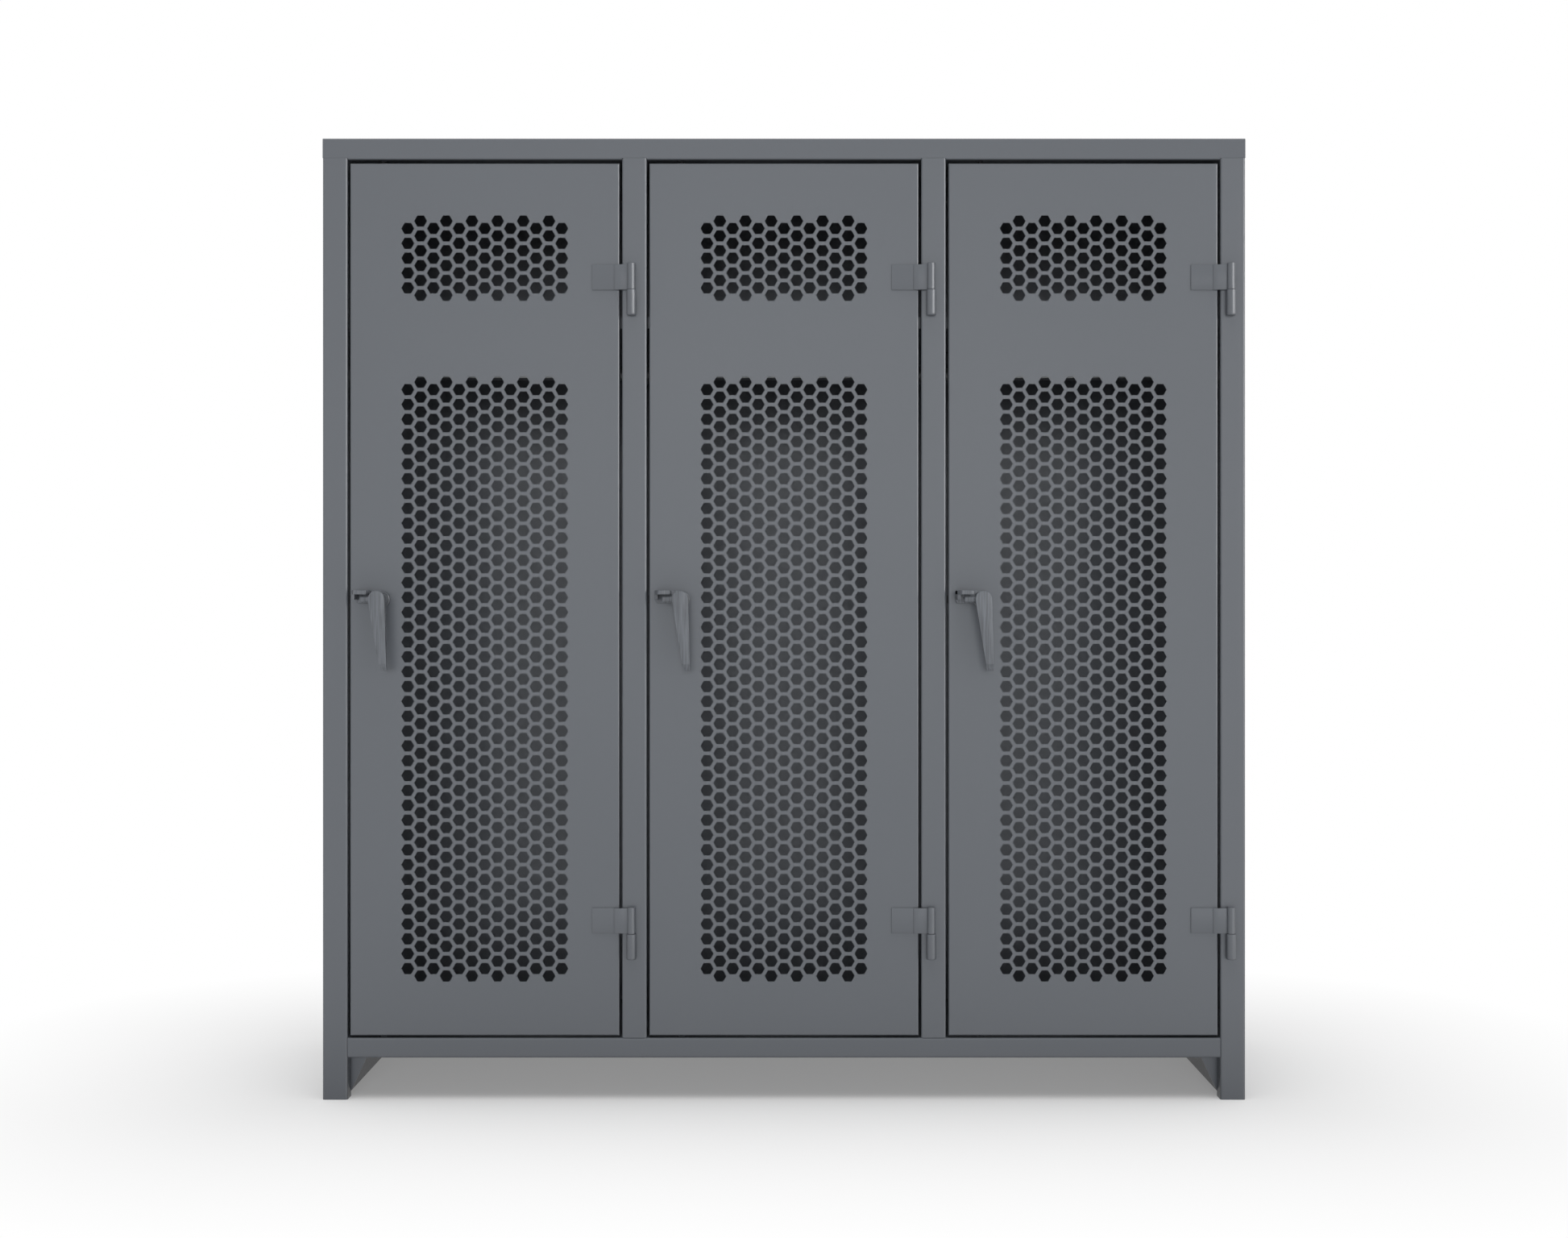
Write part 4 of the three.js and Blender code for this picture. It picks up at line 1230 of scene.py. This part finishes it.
@dataclass(frozen=True)
class Studio:
    """The pale floor, the white surroundings, the lamps and the camera."""

    ambient: float = 0.2
    floor_reach: float = 30.0
    floor_seen: float = 0.895
    floor_shade: float = 0.9
    # Painted shade: within this reach of the locker the floor bounces no light; the bounce fades back in over
    # the edge after it.
    painted_shade_reach: float = 0.17
    painted_shade_edge: float = 0.12
    # Painted light: the share of white glow that lightens the floor's shadow next to and under the locker.
    shadow_lift: float = 0.225
    shadow_reach: float = 0.95
    shadow_power: float = 0.75
    half_size: Point = (HALF_WIDTH, DEPTH / 2)
    camera_distance: float = 4.1
    lens: float = 47.5
    lamps: tuple[FarLamp, ...] = (
        FarLamp("front lamp", 0.0, 4.0, 22.0, 1.23),
        FarLamp("left wing", -28.0, 4.0, 30.0, 0.16),
        FarLamp("right wing", 28.0, 4.0, 30.0, 0.22),
        FarLamp("right lamp", 46.0, 8.0, 24.0, 0.07),
        FarLamp("left inner glow", -22.0, 4.0, 26.0, 0.38, reach=Reach.INSIDE),
        FarLamp("right inner glow", 22.0, 4.0, 26.0, 0.38, reach=Reach.INSIDE),
        FarLamp("right card", 50.0, 4.0, 52.0, 4.2, mirrored=True, reach=Reach.FRONT),
        FarLamp("overhead lamp", 0.0, 86.0, 60.0, 1.9),
    )

    def build(self, members: dict[Reach, list[Thing]]) -> None:
        """Builds the studio.

        Args:
            members: The pieces of each reach but the whole.
        """
        scene = bpy.context.scene
        pieces = {reach: bpy.data.collections.new(f"{reach.value} pieces") for reach in members}
        for reach, things in members.items():
            for thing in things:
                pieces[reach].objects.link(thing)
        scene.view_settings.view_transform = "Standard"
        self._world(scene)
        self._floor()
        for lamp in self.lamps:
            lamp.hang(pieces)
        self._camera(scene)

    def _seen(self, bench: NodeBench) -> Signal:
        """1 for what the camera sees directly, in a reflection or through glass, and 0 for other light."""
        path = bench.node("ShaderNodeLightPath")
        names = ("Is Camera Ray", "Is Glossy Ray", "Is Transmission Ray")
        camera, glossy, through = (Signal(bench, path.outputs[name]) for name in names)
        return (camera + glossy + through).clamped()

    def _distance(self, bench: NodeBench) -> Signal:
        """How far a point of the floor is from the space under the locker."""
        place = bench.out("ShaderNodeTexCoord", output="Object")
        parts = bench.node("ShaderNodeSeparateXYZ", {0: place})
        half_x, half_y = self.half_size
        across = Signal(bench, parts.outputs["X"]).math("ABSOLUTE") - half_x
        along = (Signal(bench, parts.outputs["Y"]) - (FACE_Y + half_y)).math("ABSOLUTE") - half_y
        outside = [side.math("MAXIMUM", 0.0) for side in (across, along)]
        return (outside[0] * outside[0] + outside[1] * outside[1]).math("SQRT")

    def _world(self, scene: bpy.types.Scene) -> None:
        """White to the camera and in reflections, and a plain soft light elsewhere."""
        world = bpy.data.worlds.new("studio surroundings")
        world.use_nodes = True
        world.node_tree.nodes.clear()
        bench = NodeBench(world.node_tree)
        strength = self.ambient + self._seen(bench) * (1.0 - self.ambient)
        background = bench.out("ShaderNodeBackground", {"Color": WHITE, "Strength": strength})
        bench.node("ShaderNodeOutputWorld", {"Surface": background})
        scene.world = world

    def _floor(self) -> None:
        """A wide pale floor that keeps the shadow and runs out into white, its bounce painted dark and its
        shadow lit by a painted glow near the locker.
        """
        material, bench = new_material("pale studio floor")
        distance = self._distance(bench)
        far = (distance / self.shadow_reach).clamped().math("POWER", self.shadow_power)
        seen = self._seen(bench)
        # Painted shade: the floor's colour for bounced light is zero close to the locker, which darkens the
        # locker's lower parts.
        bounced = self.floor_shade * ((distance - self.painted_shade_reach) / self.painted_shade_edge).clamped()
        level = bounced + seen * (self.floor_seen - bounced)
        shade = bench.out("ShaderNodeCombineColor", {"Red": level, "Green": level, "Blue": level})
        matt = bench.out("ShaderNodeBsdfDiffuse", {"Color": shade})
        white = bench.out("ShaderNodeEmission", {"Color": WHITE, "Strength": 1.0})
        # Painted light: white glow mixed in near the locker lightens its shadow on the floor; farther out the
        # glow becomes the white background.
        backdrop_and_painted_glow = far + (1.0 - far) * self.shadow_lift
        mixed = bench.out("ShaderNodeMixShader", {0: backdrop_and_painted_glow * seen, 1: matt, 2: white})
        bench.node("ShaderNodeOutputMaterial", {"Surface": mixed})
        shape = bmesh.new()
        reach = self.floor_reach
        corners = [(-reach, -reach), (reach, -reach), (reach, reach), (-reach, reach)]
        shape.faces.new([shape.verts.new((x, y, 0.0)) for x, y in corners])
        floor = as_object(shape, "studio_floor")
        floor.data.materials.append(material)
        floor.visible_shadow = False

    def _camera(self, scene: bpy.types.Scene) -> None:
        """The camera: level, square on to the front, at half the locker's height."""
        data = bpy.data.cameras.new("photo camera")
        data.lens = self.lens
        data.sensor_width = 36.0
        data.clip_end = 100.0
        camera = bpy.data.objects.new("photo camera", data)
        camera.location = (0.0, FACE_Y - self.camera_distance, HEIGHT / 2)
        camera.rotation_euler = (math.radians(90.0), 0.0, 0.0)
        scene.collection.objects.link(camera)
        scene.camera = camera


def main() -> None:
    """Builds the dressed locker and the studio."""
    logging.basicConfig(level=logging.INFO, format="%(name)s: %(message)s")
    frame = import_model()
    nodes = frame["nodes"]
    wardrobe = Wardrobe()
    slots = {entry["node"]: entry["material_slot"] for entry in frame["record"]["subparts"]}
    CabinetFrame(wardrobe, nodes).dress(slots)
    FoldedFrame(wardrobe).build()
    tree = perforation_tree(PerforatedDoor.fields)
    for bay, left in zip(BAYS, DOOR_LEFTS):
        door = PerforatedDoor(wardrobe, bay, left)
        door.build(tree)
        lever = LeverHandle(wardrobe, bay, door.spindle_x)
        lever.build_lever()
        lever.build_hasp()
        hinge_x = left + door.width + LiftOffHinge.door_edge
        for place, joint_z in HINGE_HEIGHTS.items():
            hinge = LiftOffHinge(wardrobe, bay, place, hinge_x, joint_z)
            hinge.build_leaf()
            hinge.build_barrel()
    front = [piece for piece in wardrobe.dressed if "rail" not in piece.name]
    inside = [node for name, node in nodes.items() if name.endswith(INNER_SHEETS)]
    Studio().build({Reach.FRONT: front, Reach.INSIDE: inside})


if __name__ == "__main__":
    main()
